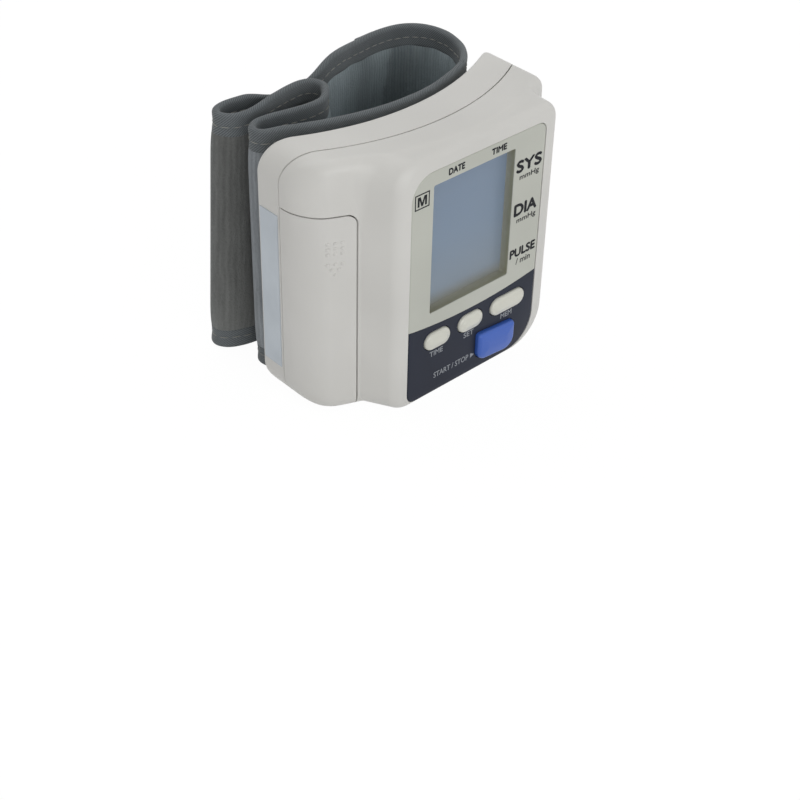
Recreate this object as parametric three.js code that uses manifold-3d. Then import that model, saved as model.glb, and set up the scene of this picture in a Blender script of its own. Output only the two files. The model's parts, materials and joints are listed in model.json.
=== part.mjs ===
// Wrist blood pressure monitor, standing on its lower end, in millimetres.
// X runs to the right of someone reading the display, Y runs back towards the wrist, Z is up.
// The model is laid out with Y = 0 on the front plate, X = 0 halfway across the case and Z = 0 under it.

import * as THREE from 'three';
import { mergeVertices } from 'three/addons/utils/BufferGeometryUtils.js';
import Module from 'manifold-3d';

const wasm = await Module();
wasm.setup();

// Battery bay under the left wing, for two upright cells
const CELL = { radius: 5.25, length: 44.5, nubRadius: 1.9, nubHeight: 0.9, apart: 0.9 };
const BAY = { bottom: 5, plate: 1.1, wall: 0.9, springRoom: 4.7, boardGap: 0.8 };
const CONTACT = { thickness: 0.4, side: 7.4 };
const SPRING = { wire: 0.35, topRadius: 2, bottomRadius: 3.6 };
const BAY_TOP = BAY.bottom + 2 * CONTACT.thickness + CELL.length + BAY.springRoom;
const COVER_LAP = 1;
const COVER_TOP = BAY_TOP + COVER_LAP;

// Case: its height is that of the battery bay and the room above it
const CASE_WIDTH = 73.6;
const ROOM_ABOVE_BAY = 15;
const CASE_HEIGHT = BAY_TOP + ROOM_ABOVE_BAY;
const HALF = CASE_WIDTH / 2;
const WALL = 1.8;
const CASE_CORNER_LEFT = 8;
const CASE_CORNER_RIGHT = 3;
const EDGE_ROUND = 0.8;
const CLEAR = 0.3;

// The parting line between the shells and the back of the case are arcs, seen from above;
// the back follows the parting line at a slightly wider radius
const PARTING_ARC = { x: 1.5, low: 10.8, radius: 67 };
const REAR_DEPTH = 9.8;
const REAR_SPREAD = 1;
const BACK_ARC = { x: 0.5, low: PARTING_ARC.low + REAR_DEPTH, radius: PARTING_ARC.radius + REAR_SPREAD };
const BACK_CORNER_LEFT = 1.5;
const BACK_CORNER_RIGHT = 4;
const PARTING_GAP = 0.3;

// Wings of the front shell, each a layer of even thickness in front of the parting line
const WING_THICKNESS_LEFT = 6.8;
const WING_THICKNESS_RIGHT = 9;
const WING_CORNER_LEFT = 6;
const WING_CORNER_RIGHT = 1.5;
const SHOULDER = 3;

// Raised display block between the wings
const WING_WIDTH_LEFT = 17;
const WING_WIDTH_RIGHT = 5.4;
const BLOCK_LEFT = WING_WIDTH_LEFT - HALF;
const BLOCK_RIGHT = HALF - WING_WIDTH_RIGHT;
const BLOCK_TOP_GAP = 0.6;
const BLOCK_DRAFT_share = 0.55;
const BLOCK_FOOT_DEPTH = 8.8;
const BLOCK_ROUND = 2.2;
const BLOCK_CORNERS = { topLeft: 7, topRight: 4.5, bottomRight: 11, bottomLeft: 4.5 };

// Front plate: a light bezel above a navy button panel, let into the block
const PLATE_MARGIN = { left: 3.4, right: 4.3, bottom: 1.2, top: 4 };
const PLATE = {
  left: BLOCK_LEFT + PLATE_MARGIN.left,
  right: BLOCK_RIGHT - PLATE_MARGIN.right,
  bottom: PLATE_MARGIN.bottom,
  top: CASE_HEIGHT - BLOCK_TOP_GAP - PLATE_MARGIN.top,
};
const PLATE_WIDTH = PLATE.right - PLATE.left;
const PLATE_CORNERS = { topLeft: 6.4, topRight: 2.6, bottomRight: 9, bottomLeft: 3 };
const PLATE_THICKNESS = 1.2;
const PLATE_GAP = 0.15;
const NAVY_PANEL = { height: 20.2, edgeRadius: 136 };
const NAVY_DIP_share = 0.49;
const NAVY_TOP = PLATE.bottom + NAVY_PANEL.height;
const FRONT_WALL = 1.6;
const WALL_BACK = PLATE_THICKNESS + FRONT_WALL;

// Display window, by its margins inside the light bezel
const WINDOW_MARGIN = { left: 6.7, right: 10.3, bottom: 4.5, top: 3.8, corner: 0.5 };
const WINDOW = {
  left: PLATE.left + WINDOW_MARGIN.left,
  right: PLATE.right - WINDOW_MARGIN.right,
  bottom: NAVY_TOP + WINDOW_MARGIN.bottom,
  top: PLATE.top - WINDOW_MARGIN.top,
};
const WINDOW_TAB = { width: 8.7, height: 0.7 };
const WINDOW_TAB_share = 0.34;
const PANE = { margin: 1.2, thickness: 0.8 };
const LCD = { margin: 1.5, gap: 0.7, thickness: 1.6, frameWall: 0.9, frameLap: 0.9, connector: 1.5 };

// Keys: a row of three below the navy panel's top, and the start key by its share of the plate's width
const KEY_ROW = { below: 1.5, left: 5.3, right: 3.8, gap: 2.9, proud: 1.3 };
const KEY_ROW_SPAN = PLATE_WIDTH - KEY_ROW.left - KEY_ROW.right - 2 * KEY_ROW.gap;
const SMALL_KEY_HEIGHT = 5;
const SMALL_KEY_NAMES = ['time', 'set', 'memory'];
const SMALL_KEY_shares = [0.296, 0.29, 0.414];
const START_KEY = { bottom: 2.9, gap: 2.7, slope: 1.05, proud: 1.8 };
const START_KEY_CORNER_shares = { right: 0.47, left: 0.3 };
const START_KEY_SPAN_shares = [0.538, 0.832];
const KEY_EDGE = 0.8;
const KEY_CORNER = 0.9;
const KEY_FLANGE = { width: 0.7, thickness: 0.8 };
const KEY_TRAVEL = 0.6;
const KEY_STOP_GAP = 0.1;
const SWITCH = { side: 4, body: 0.9, dotRadius: 1, dotHeight: 0.3 };

// Main board, by its distance from the outside of the block, and what it carries
const BOARD_MARGIN = { left: 8.2, right: 2.8, bottom: 3, top: 4 };
const BOARD = {
  left: BLOCK_LEFT + BOARD_MARGIN.left,
  right: BLOCK_RIGHT - BOARD_MARGIN.right,
  bottom: BOARD_MARGIN.bottom,
  top: CASE_HEIGHT - BOARD_MARGIN.top,
};
const BOARD_CORNERS = { topLeft: 2, topRight: 4, bottomRight: 10, bottomLeft: 2 };
const BOARD_THICKNESS = 1.2;
const BOARD_DEPTH = 6.2;
const BOARD_BACK = BOARD_DEPTH + BOARD_THICKNESS;
const BOARD_PLACE_shares = {
  chip: [0.388, 0.587], buzzer: [0.43, 0.873], sensor: [0.152, 0.698], motor: [0.811, 0],
};
const boardX = (name) => BOARD.left + (BOARD.right - BOARD.left) * BOARD_PLACE_shares[name][0];
const boardZ = (name) => BOARD.bottom + (BOARD.top - BOARD.bottom) * BOARD_PLACE_shares[name][1];
const CHIP = { side: 8, thickness: 1.1 };
const BUZZER = { radius: 6, thickness: 3 };
const SENSOR = { side: 7, thickness: 3.2, port: 1.25, portLength: 2.6 };

// Air pump, standing along Z behind the board
const MOTOR = { radius: 6, bottom: 12, length: 18 };
const MOTOR_SHAFT = { radius: 1, bore: 1.3, sunk: 3, length: 10 };
const ECCENTRIC = { radius: 2.6, offset: 0.9, thickness: 3, lift: 3 };
const PUMP_HEAD = { side: 11.6, height: 12, cavity: 4.6, roof: 3.4, neck: 1.3 };

// Exhaust valve, standing along Z
const VALVE = { radius: 4, bottom: 15, length: 14 };
const PLUNGER = { radius: 1, bore: 1.3, headRadius: 2.2, headHeight: 1.4, sunk: 5, gap: 1, travel: 0.7 };

// Air tubes and their joining piece
const TUBE = { radius: 1.6, bore: 1, spigotRadius: 0.65, spigotReach: 2.4 };
const MANIFOLD = { bottom: 37, width: 5, depth: 5, height: 7, toPump: 2.2, toValve: 0.9 };
const manifoldX = boardX('motor') - PUMP_HEAD.side / 2 - MANIFOLD.toPump - MANIFOLD.width / 2;
const valveX = manifoldX - MANIFOLD.width / 2 - MANIFOLD.toValve - VALVE.radius;
const NIPPLE_RADIUS = 1.5;
const NIPPLE_HOLE_GAP = 0.4;

// Cover over the battery bay, and the raised dots of its grip
const COVER = { fromBlock: 5.4, corner: 2.4, slideGap: 0.3 };
const COVER_RIGHT = BLOCK_LEFT - COVER.fromBlock;
const DOT = { radius: 0.45, height: 0.3, pitchX: 1.6, pitchZ: 1.42, fromTop: 6.9 };
const DOT_PLACE_shares = [
  [-1, 0], [0, 0], [1, 0], [-1, -1], [0, -1], [1, -1], [-1, -2], [0, -2], [1, -2],
  [-1, -4], [0, -4], [1, -4], [-0.5, -5], [0.5, -5], [0, -6],
];

// Case screws, driven in from the back, by their places from the edges of the case and of the board
const SCREW_INSET = { wing: 11.3, end: 4.8, top: 7.3, bottom: 7.5, boardLeft: 4.2, boardBottom: 3.4 };
const SCREWS = [
  { x: SCREW_INSET.wing - HALF, z: CASE_HEIGHT - SCREW_INSET.top },
  { x: HALF - SCREW_INSET.end, z: CASE_HEIGHT - SCREW_INSET.top },
  { x: HALF - SCREW_INSET.end, z: SCREW_INSET.bottom },
  { x: BOARD.left + SCREW_INSET.boardLeft, z: BOARD.bottom + SCREW_INSET.boardBottom },
];
const SCREW = { radius: 1.1, headRadius: 2, headHeight: 1.4, reach: 4, floor: 2 };
const BOSS_RADIUS = 2.6;

// Label plate on the left side of the rear case, left bare
const LABEL = { frontMargin: 0.6, backMargin: 1.9, bottom: 10.1, height: 43.4, thickness: 0.2 };

// Cuff: a lining and an outer cloth round an air bladder, with a taped edge at top and bottom
const CUFF_BOTTOM = 0.7;
const CUFF_TOP_GAP = 1.5;
const CUFF_TOP = CASE_HEIGHT - CUFF_TOP_GAP;
const CUFF_STEPS = 76;
const CLOTH = 0.45;
const LAYER_GAP = 0.2;
const BLADDER = { thickness: 0.6, inset: 12 };
const BLADDER_SPAN_shares = [0.02, 0.2];
const BINDING = { thickness: 0.35, gap: 0.2, height: 6.4, round: 0.8 };
const PUFF = 0.5;
const PUFF_SHOULDER = 5;
const HALF_BAND = BLADDER.thickness / 2 + LAYER_GAP + CLOTH;
const CUFF_PLATE = {
  thickness: 0.8, leftMargin: 9.8, rightMargin: 5.8, bottomMargin: 6, topMargin: 8, gap: 0.2,
};

// Middle line of the folded cuff, seen from above. The run along the case is given by its share of
// the case's width and its lift off the cuff plate, and the rest by shares of width and cuff depth.
const CUFF_DEPTH = 38;
const CUFF_SEAT = 2 * CUFF_PLATE.gap + CUFF_PLATE.thickness + HALF_BAND + PUFF;
const CUFF_RUN_shares = [
  [0.874, 0.031], [0.773, 0.028], [0.64, 0.027], [0.504, 0.033], [0.371, 0.053], [0.232, 0.073],
  [0.126, 0.087],
];
const CUFF_LOOP_shares = [
  [0.076, 0.389], [0.071, 0.468], [0.101, 0.518], [0.151, 0.524], [0.234, 0.492], [0.312, 0.471],
  [0.364, 0.482], [0.404, 0.526], [0.42, 0.6], [0.406, 0.668], [0.365, 0.697], [0.314, 0.695],
  [0.249, 0.671], [0.166, 0.642], [0.106, 0.647], [0.064, 0.682], [0.046, 0.742], [0.06, 0.803],
  [0.098, 0.829], [0.166, 0.818], [0.247, 0.789], [0.323, 0.784], [0.402, 0.797], [0.484, 0.826],
  [0.584, 0.876], [0.704, 0.939], [0.825, 0.961], [0.92, 0.913], [0.98, 0.805], [1.003, 0.666],
  [0.988, 0.511], [0.942, 0.363],
];

// Fastened end of the cuff, lying on the outside of the loop's back
const END_TAB = { bottom: 2.2, topMargin: 3.4, thickness: 0.9, hook: 0.5, gap: 0.3, hookMargin: 8 };
const END_TAB_shares = [0.805, 0.905];

// Rounding of faceted shapes
const ARC_STEPS = 4;
const LONG_ARC_STEPS = 8;
const EDGE_STEPS = 3;
const ROD_SIDES = 16;
const SMALL_ROD_SIDES = 12;
const OVERRUN = 1;

const part = new THREE.Group();
const DEG = Math.PI / 180;

// Materials
function material(color, roughness, metalness = 0) {
  return new THREE.MeshStandardMaterial({ color, roughness, metalness });
}
const CASE_PLASTIC = material(0xd4d4cf, 0.4);
const COVER_PLASTIC = material(0xd8d7d3, 0.42);
const BEZEL_PLASTIC = material(0xc9cbc4, 0.3);
const NAVY_PLASTIC = material(0x232b3d, 0.35);
const IVORY_KEY = material(0xe4e3d8, 0.35);
const BLUE_KEY = material(0x3f66b8, 0.35);
const CLEAR_PANE = material(0xe6eef2, 0.05);
CLEAR_PANE.transparent = true;
CLEAR_PANE.opacity = 0.35;
const LCD_GLASS = material(0x8ba3b8, 0.15);
const BLACK_PLASTIC = material(0x202224, 0.5);
const GREEN_BOARD = material(0x1f5a38, 0.5);
const RUBBER = material(0x2a2a2c, 0.8);
const STEEL = material(0xb7b9bb, 0.3, 1);
const BRASS = material(0xb99a55, 0.35, 1);
const SILICONE_TUBE = material(0xc9ccc6, 0.45);
const CELL_SLEEVE = material(0x3b5c4a, 0.35);
const LABEL_FOIL = material(0xb4bec8, 0.35);
const WHITE_PLASTIC = material(0xdcdcd8, 0.5);
const CUFF_PLUSH = material(0x6b6a66, 0.95);
const CUFF_RIB = material(0x66767c, 0.9);
const BINDING_TAPE = material(0x6f7476, 0.85);
const BLADDER_FILM = material(0x9aa0a2, 0.6);

// Closed solid from a geometry: the shared corners are merged first
function solidOf(geometry) {
  const bare = geometry.clone();
  bare.deleteAttribute('normal');
  bare.deleteAttribute('uv');
  const merged = mergeVertices(bare, CLEAR * 1e-4);
  return new wasm.Manifold(new wasm.Mesh({
    numProp: 3,
    vertProperties: new Float32Array(merged.attributes.position.array),
    triVerts: new Uint32Array(merged.index.array),
  }));
}

function geometryOf(solid) {
  const mesh = solid.getMesh();
  const geometry = new THREE.BufferGeometry();
  geometry.setAttribute('position', new THREE.BufferAttribute(new Float32Array(mesh.vertProperties), 3));
  geometry.setIndex(new THREE.BufferAttribute(new Uint32Array(mesh.triVerts), 1));
  geometry.computeVertexNormals();
  return geometry;
}

function add(name, solid, finish) {
  const mesh = new THREE.Mesh(geometryOf(solid), finish);
  mesh.name = name;
  part.add(mesh);
}

// Solid through a stack of rings with equal numbers of points, capped at both ends.
// Each ring is { points: [[u, v], ...], level }, and place turns (u, v, level) into [x, y, z].
function loft(rings, place) {
  const count = rings[0].points.length;
  const positions = [];
  for (const ring of rings) {
    for (const [u, v] of ring.points) {
      positions.push(...place(u, v, ring.level));
    }
  }
  const faces = [];
  for (let k = 0; k + 1 < rings.length; k += 1) {
    for (let i = 0; i < count; i += 1) {
      const a = k * count + i;
      const b = k * count + ((i + 1) % count);
      faces.push([a, b, b + count], [a, b + count, a + count]);
    }
  }
  const last = (rings.length - 1) * count;
  for (const [a, b, c] of capFaces(rings[0].points)) {
    faces.push([a, c, b]);
  }
  for (const [a, b, c] of capFaces(rings[rings.length - 1].points)) {
    faces.push([last + a, last + b, last + c]);
  }
  return closedGeometry(positions, faces);
}

// Triangles that fill an outline, wound the same way round as the outline itself
function capFaces(points) {
  const flat = points.map(([u, v]) => new THREE.Vector2(u, v));
  const clockwise = THREE.ShapeUtils.isClockWise(flat);
  return THREE.ShapeUtils.triangulateShape(flat, []).map(([a, b, c]) => {
    const same = THREE.ShapeUtils.isClockWise([flat[a], flat[b], flat[c]]) === clockwise;
    return same ? [a, b, c] : [a, c, b];
  });
}

// Geometry whose faces are turned outwards if their signed volume is negative
function closedGeometry(positions, faces) {
  const point = (i) => new THREE.Vector3().fromArray(positions, 3 * i);
  const volume = faces.reduce((sum, [a, b, c]) => sum + point(a).dot(point(b).cross(point(c))), 0);
  const turned = volume < 0 ? faces.map(([a, b, c]) => [a, c, b]) : faces;
  const geometry = new THREE.BufferGeometry();
  geometry.setAttribute('position', new THREE.Float32BufferAttribute(positions, 3));
  geometry.setIndex(turned.flat());
  return geometry;
}

const alongZ = (u, v, level) => [u, v, level];
const alongY = (u, v, level) => [u, level, v];

function prism(points, from, to, place) {
  return solidOf(loft([{ points, level: from }, { points, level: to }], place));
}

function box(x0, x1, y0, y1, z0, z1) {
  const geometry = new THREE.BoxGeometry(x1 - x0, y1 - y0, z1 - z0);
  geometry.translate((x0 + x1) / 2, (y0 + y1) / 2, (z0 + z1) / 2);
  return solidOf(geometry);
}

function circle(cu, cv, radius, sides = ROD_SIDES) {
  return Array.from({ length: sides }, (_, i) => [
    cu + radius * Math.cos((2 * Math.PI * i) / sides),
    cv + radius * Math.sin((2 * Math.PI * i) / sides),
  ]);
}

function rod(cu, cv, radius, from, to, place, sides = ROD_SIDES) {
  return prism(circle(cu, cv, radius, sides), from, to, place);
}

function arc(cu, cv, radius, fromAngle, toAngle, steps) {
  return Array.from({ length: steps + 1 }, (_, i) => {
    const angle = fromAngle + ((toAngle - fromAngle) * i) / steps;
    return [cu + radius * Math.cos(angle), cv + radius * Math.sin(angle)];
  });
}

// Rectangle with its own radius at each corner, anticlockwise from the lower right
function roundedRectangle(left, right, bottom, top, corners, inset = 0, steps = ARC_STEPS) {
  const least = EDGE_ROUND / 8;
  const r = (name) => Math.max(corners[name] - inset, least);
  const [l, rt, b, t] = [left + inset, right - inset, bottom + inset, top - inset];
  return [
    ...arc(rt - r('bottomRight'), b + r('bottomRight'), r('bottomRight'), -90 * DEG, 0, steps),
    ...arc(rt - r('topRight'), t - r('topRight'), r('topRight'), 0, 90 * DEG, steps),
    ...arc(l + r('topLeft'), t - r('topLeft'), r('topLeft'), 90 * DEG, 180 * DEG, steps),
    ...arc(l + r('bottomLeft'), b + r('bottomLeft'), r('bottomLeft'), 180 * DEG, 270 * DEG, steps),
  ];
}

function evenCorners(radius) {
  return { topLeft: radius, topRight: radius, bottomRight: radius, bottomLeft: radius };
}

// Point of an arc-shaped face, seen from above: its centre lies behind the case
const arcCentreY = (face) => face.low + face.radius;
function arcY(face, x, offset = 0) {
  const radius = face.radius + offset;
  return arcCentreY(face) - Math.sqrt(radius * radius - (x - face.x) * (x - face.x));
}

// Outline of the case seen from the front, as a bar through its whole depth
const FAR_BACK = arcY(BACK_ARC, HALF) + OVERRUN;
const CASE_CORNERS = {
  topLeft: CASE_CORNER_LEFT,
  bottomLeft: CASE_CORNER_LEFT,
  topRight: CASE_CORNER_RIGHT,
  bottomRight: CASE_CORNER_RIGHT,
};
function frontViewBar(inset) {
  const outline = roundedRectangle(-HALF, HALF, 0, CASE_HEIGHT, CASE_CORNERS, inset);
  return prism(outline, -OVERRUN, FAR_BACK, alongY);
}

// Everything behind the parting arc moved by offset: negative is nearer the display
function behindParting(offset) {
  const reach = HALF + OVERRUN;
  const front = Array.from({ length: LONG_ARC_STEPS * 2 + 1 }, (_, i) => {
    const x = -reach + (reach * i) / LONG_ARC_STEPS;
    return [x, arcY(PARTING_ARC, x, -offset)];
  });
  const back = [[reach, FAR_BACK + OVERRUN], [-reach, FAR_BACK + OVERRUN]];
  return prism([...front, ...back], -OVERRUN, CASE_HEIGHT + OVERRUN, alongZ);
}

// Corner between an upright side and an arc whose solid lies behind it (front) or before it (back)
function sideToArc(face, radius, sideX, corner, sideSign, solidBehind, steps) {
  const centreX = sideX + sideSign * corner;
  const reach = solidBehind ? radius - corner : radius + corner;
  const centreY = arcCentreY(face) - Math.sqrt(reach * reach - (centreX - face.x) ** 2);
  const towards = solidBehind ? 1 : -1;
  const toArc = Math.atan2(towards * (centreY - arcCentreY(face)), towards * (centreX - face.x));
  const toSide = sideSign > 0 ? (solidBehind ? -180 * DEG : 180 * DEG) : 0;
  return arc(centreX, centreY, corner, toSide, toArc, steps);
}

// Plan of the two wings at a given inset: front faces in front of the parting arc
function wingPlan(inset) {
  const leftR = PARTING_ARC.radius + WING_THICKNESS_LEFT - inset;
  const rightR = PARTING_ARC.radius + WING_THICKNESS_RIGHT - inset;
  const least = EDGE_ROUND / 4;
  const leftCorner = Math.max(WING_CORNER_LEFT - inset, least);
  const rightCorner = Math.max(WING_CORNER_RIGHT - inset, least);
  const left = sideToArc(PARTING_ARC, leftR, -HALF + inset, leftCorner, 1, true, ARC_STEPS);
  const right = sideToArc(PARTING_ARC, rightR, HALF - inset, rightCorner, -1, true, ARC_STEPS);
  const run = (radius, x0, x1) => Array.from({ length: LONG_ARC_STEPS - 1 }, (_, i) => {
    const x = x0 + ((x1 - x0) * (i + 1)) / LONG_ARC_STEPS;
    return [x, arcCentreY(PARTING_ARC) - Math.sqrt(radius * radius - (x - PARTING_ARC.x) ** 2)];
  });
  return [
    [-HALF + inset, FAR_BACK],
    ...left,
    ...run(leftR, left[left.length - 1][0], 0),
    ...run(rightR, 0, right[right.length - 1][0]),
    ...right.reverse(),
    [HALF - inset, FAR_BACK],
  ];
}

// Insets of a rounded edge, as [distance from the end, inset]
function roundedEdge(radius, steps) {
  return Array.from({ length: steps + 1 }, (_, i) => {
    const angle = (90 * DEG * i) / steps;
    return [radius * (1 - Math.sin(angle)), radius * (1 - Math.cos(angle))];
  }).reverse();
}

function wingBody(inset) {
  const edge = roundedEdge(Math.max(SHOULDER - inset, EDGE_ROUND), inset > 0 ? 1 : EDGE_STEPS);
  const bottom = inset;
  const top = CASE_HEIGHT - inset;
  const rings = [
    ...edge.map(([away, cut]) => ({ points: wingPlan(inset + cut), level: bottom + away })).reverse(),
    ...edge.map(([away, cut]) => ({ points: wingPlan(inset + cut), level: top - away })),
  ];
  rings.sort((a, b) => a.level - b.level);
  return solidOf(loft(rings, alongZ)).intersect(frontViewBar(inset));
}

// Raised block, its left side leaning out to the wing and its top rising to the parting line
function blockBody(inset, front) {
  const depth = arcY(PARTING_ARC, BLOCK_RIGHT) + WALL;
  const round = Math.max(BLOCK_ROUND - inset, EDGE_ROUND);
  const ring = (cut, y) => {
    const foot = Math.min(y, BLOCK_FOOT_DEPTH);
    const fall = BLOCK_TOP_GAP * Math.max(1 - y / PARTING_ARC.low, 0);
    const left = BLOCK_LEFT - BLOCK_DRAFT_share * foot;
    return {
      level: y,
      points: roundedRectangle(left, BLOCK_RIGHT, 0, CASE_HEIGHT - fall, BLOCK_CORNERS, inset + cut),
    };
  };
  const rings = roundedEdge(round, inset > 0 ? 1 : EDGE_STEPS).map(([away, cut]) => ring(cut, front + away));
  rings.sort((a, b) => a.level - b.level);
  rings.push(ring(0, BLOCK_FOOT_DEPTH), ring(0, PARTING_ARC.low), ring(0, depth));
  return solidOf(loft(rings, alongY));
}

function frontBody(inset) {
  const front = inset > 0 ? WALL_BACK : 0;
  return wingBody(inset).add(blockBody(inset, front));
}

// Rear body: the case behind the parting line, with its arc-shaped back
function rearPlan(inset) {
  const radius = BACK_ARC.radius + inset;
  const least = EDGE_ROUND / 4;
  const leftCorner = Math.max(BACK_CORNER_LEFT - inset, least);
  const rightCorner = Math.max(BACK_CORNER_RIGHT - inset, least);
  const left = sideToArc(BACK_ARC, radius, -HALF + inset, leftCorner, 1, false, ARC_STEPS);
  const right = sideToArc(BACK_ARC, radius, HALF - inset, rightCorner, -1, false, ARC_STEPS);
  const x0 = left[left.length - 1][0];
  const x1 = right[right.length - 1][0];
  const run = Array.from({ length: 2 * LONG_ARC_STEPS - 1 }, (_, i) => {
    const x = x0 + ((x1 - x0) * (i + 1)) / (2 * LONG_ARC_STEPS);
    return [x, arcCentreY(BACK_ARC) - Math.sqrt(radius * radius - (x - BACK_ARC.x) ** 2)];
  });
  return [[-HALF + inset, 0], ...left, ...run, ...right.reverse(), [HALF - inset, 0]];
}

function rearBody(inset) {
  const edge = inset > 0 ? [] : [{ points: rearPlan(EDGE_ROUND), level: 0 }];
  const topEdge = inset > 0 ? [] : [{ points: rearPlan(EDGE_ROUND), level: CASE_HEIGHT }];
  const low = inset > 0 ? inset : EDGE_ROUND;
  const rings = [
    ...edge,
    { points: rearPlan(inset), level: low },
    { points: rearPlan(inset), level: CASE_HEIGHT - low },
    ...topEdge,
  ];
  return solidOf(loft(rings, alongZ)).intersect(frontViewBar(inset));
}

// Front plate outlines
function plateOutline(inset) {
  return roundedRectangle(PLATE.left, PLATE.right, PLATE.bottom, PLATE.top, PLATE_CORNERS, inset);
}

function belowNavyEdge(offset) {
  const crestX = PLATE.left + PLATE_WIDTH * NAVY_DIP_share;
  const centreZ = NAVY_TOP + NAVY_PANEL.edgeRadius;
  const run = Array.from({ length: 2 * LONG_ARC_STEPS + 1 }, (_, i) => {
    const x = PLATE.left - OVERRUN + ((PLATE_WIDTH + 2 * OVERRUN) * i) / (2 * LONG_ARC_STEPS);
    return [x, centreZ + offset - Math.sqrt(NAVY_PANEL.edgeRadius ** 2 - (x - crestX) ** 2)];
  });
  const low = PLATE.bottom - OVERRUN;
  const outline = [...run, [PLATE.right + OVERRUN, low], [PLATE.left - OVERRUN, low]];
  return prism(outline, -OVERRUN, PLATE_THICKNESS + OVERRUN, alongY);
}

function windowOutline(margin) {
  return roundedRectangle(
    WINDOW.left - margin, WINDOW.right + margin, WINDOW.bottom - margin, WINDOW.top + margin,
    evenCorners(WINDOW_MARGIN.corner + margin));
}

// Keys of the row, from the left, each taking its share of the row's free span
const keyRowZ = NAVY_TOP - KEY_ROW.below - SMALL_KEY_HEIGHT / 2;
const smallKeys = SMALL_KEY_NAMES.map((name, i) => {
  const before = SMALL_KEY_shares.slice(0, i).reduce((sum, share) => sum + share, 0);
  const left = PLATE.left + KEY_ROW.left + KEY_ROW_SPAN * before + KEY_ROW.gap * i;
  return { name, left, right: left + KEY_ROW_SPAN * SMALL_KEY_shares[i] };
});

// Key outlines: stadiums in the row, and the start key with one larger corner, leaning down to the right
function smallKeyOutline(key, inset) {
  const half = SMALL_KEY_HEIGHT / 2;
  const corner = Math.min(half, (key.right - key.left) / 2);
  return roundedRectangle(key.left, key.right, keyRowZ - half, keyRowZ + half, evenCorners(corner), inset);
}

const startLeft = PLATE.left + PLATE_WIDTH * START_KEY_SPAN_shares[0];
const startWidth = PLATE.left + PLATE_WIDTH * START_KEY_SPAN_shares[1] - startLeft;
const startBottom = PLATE.bottom + START_KEY.bottom;
const startHeight = keyRowZ - SMALL_KEY_HEIGHT / 2 - START_KEY.gap - startBottom;
function startKeyOutline(inset) {
  const k = START_KEY;
  const share = START_KEY_CORNER_shares;
  const corners = {
    ...evenCorners(KEY_CORNER), bottomRight: share.right * startHeight, bottomLeft: share.left * startHeight,
  };
  const outline = roundedRectangle(startLeft, startLeft + startWidth, startBottom, startBottom + startHeight,
    corners, inset);
  return outline.map(([x, z]) => [x, z - (k.slope * (x - startLeft)) / startWidth]);
}

const KEYS = [
  ...smallKeys.map((key) => ({
    name: key.name,
    proud: KEY_ROW.proud,
    outline: (inset) => smallKeyOutline(key, inset),
    switchX: (key.left + key.right) / 2,
    switchZ: keyRowZ,
    finish: IVORY_KEY,
  })),
  {
    name: 'start',
    proud: START_KEY.proud,
    outline: startKeyOutline,
    switchX: startLeft + startWidth / 2,
    switchZ: startBottom + (startHeight - START_KEY.slope) / 2,
    finish: BLUE_KEY,
  },
];

// Depths behind the front plate
const FLANGE_FRONT = WALL_BACK + CLEAR;
const SWITCH_TOP = BOARD_DEPTH - SWITCH.body - SWITCH.dotHeight;
const KEY_BACK = SWITCH_TOP - KEY_TRAVEL - KEY_STOP_GAP;
const LCD_FRONT = PLATE_THICKNESS + PANE.thickness + LCD.gap;
const LCD_BACK = LCD_FRONT + LCD.thickness;

// Battery cover: the wing's skin on the lower left, with the underside
function coverRegion(grow) {
  const outline = roundedRectangle(
    -HALF - 2 * OVERRUN, COVER_RIGHT + grow, -2 * OVERRUN, COVER_TOP + grow,
    { ...evenCorners(EDGE_ROUND), topRight: COVER.corner + grow });
  return prism(outline, 0, FAR_BACK, alongY);
}

function dotPlaces() {
  const middle = (COVER_RIGHT - HALF) / 2;
  const top = COVER_TOP - DOT.fromTop;
  return DOT_PLACE_shares.map(([column, row]) => [middle + column * DOT.pitchX, top + row * DOT.pitchZ]);
}

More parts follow.
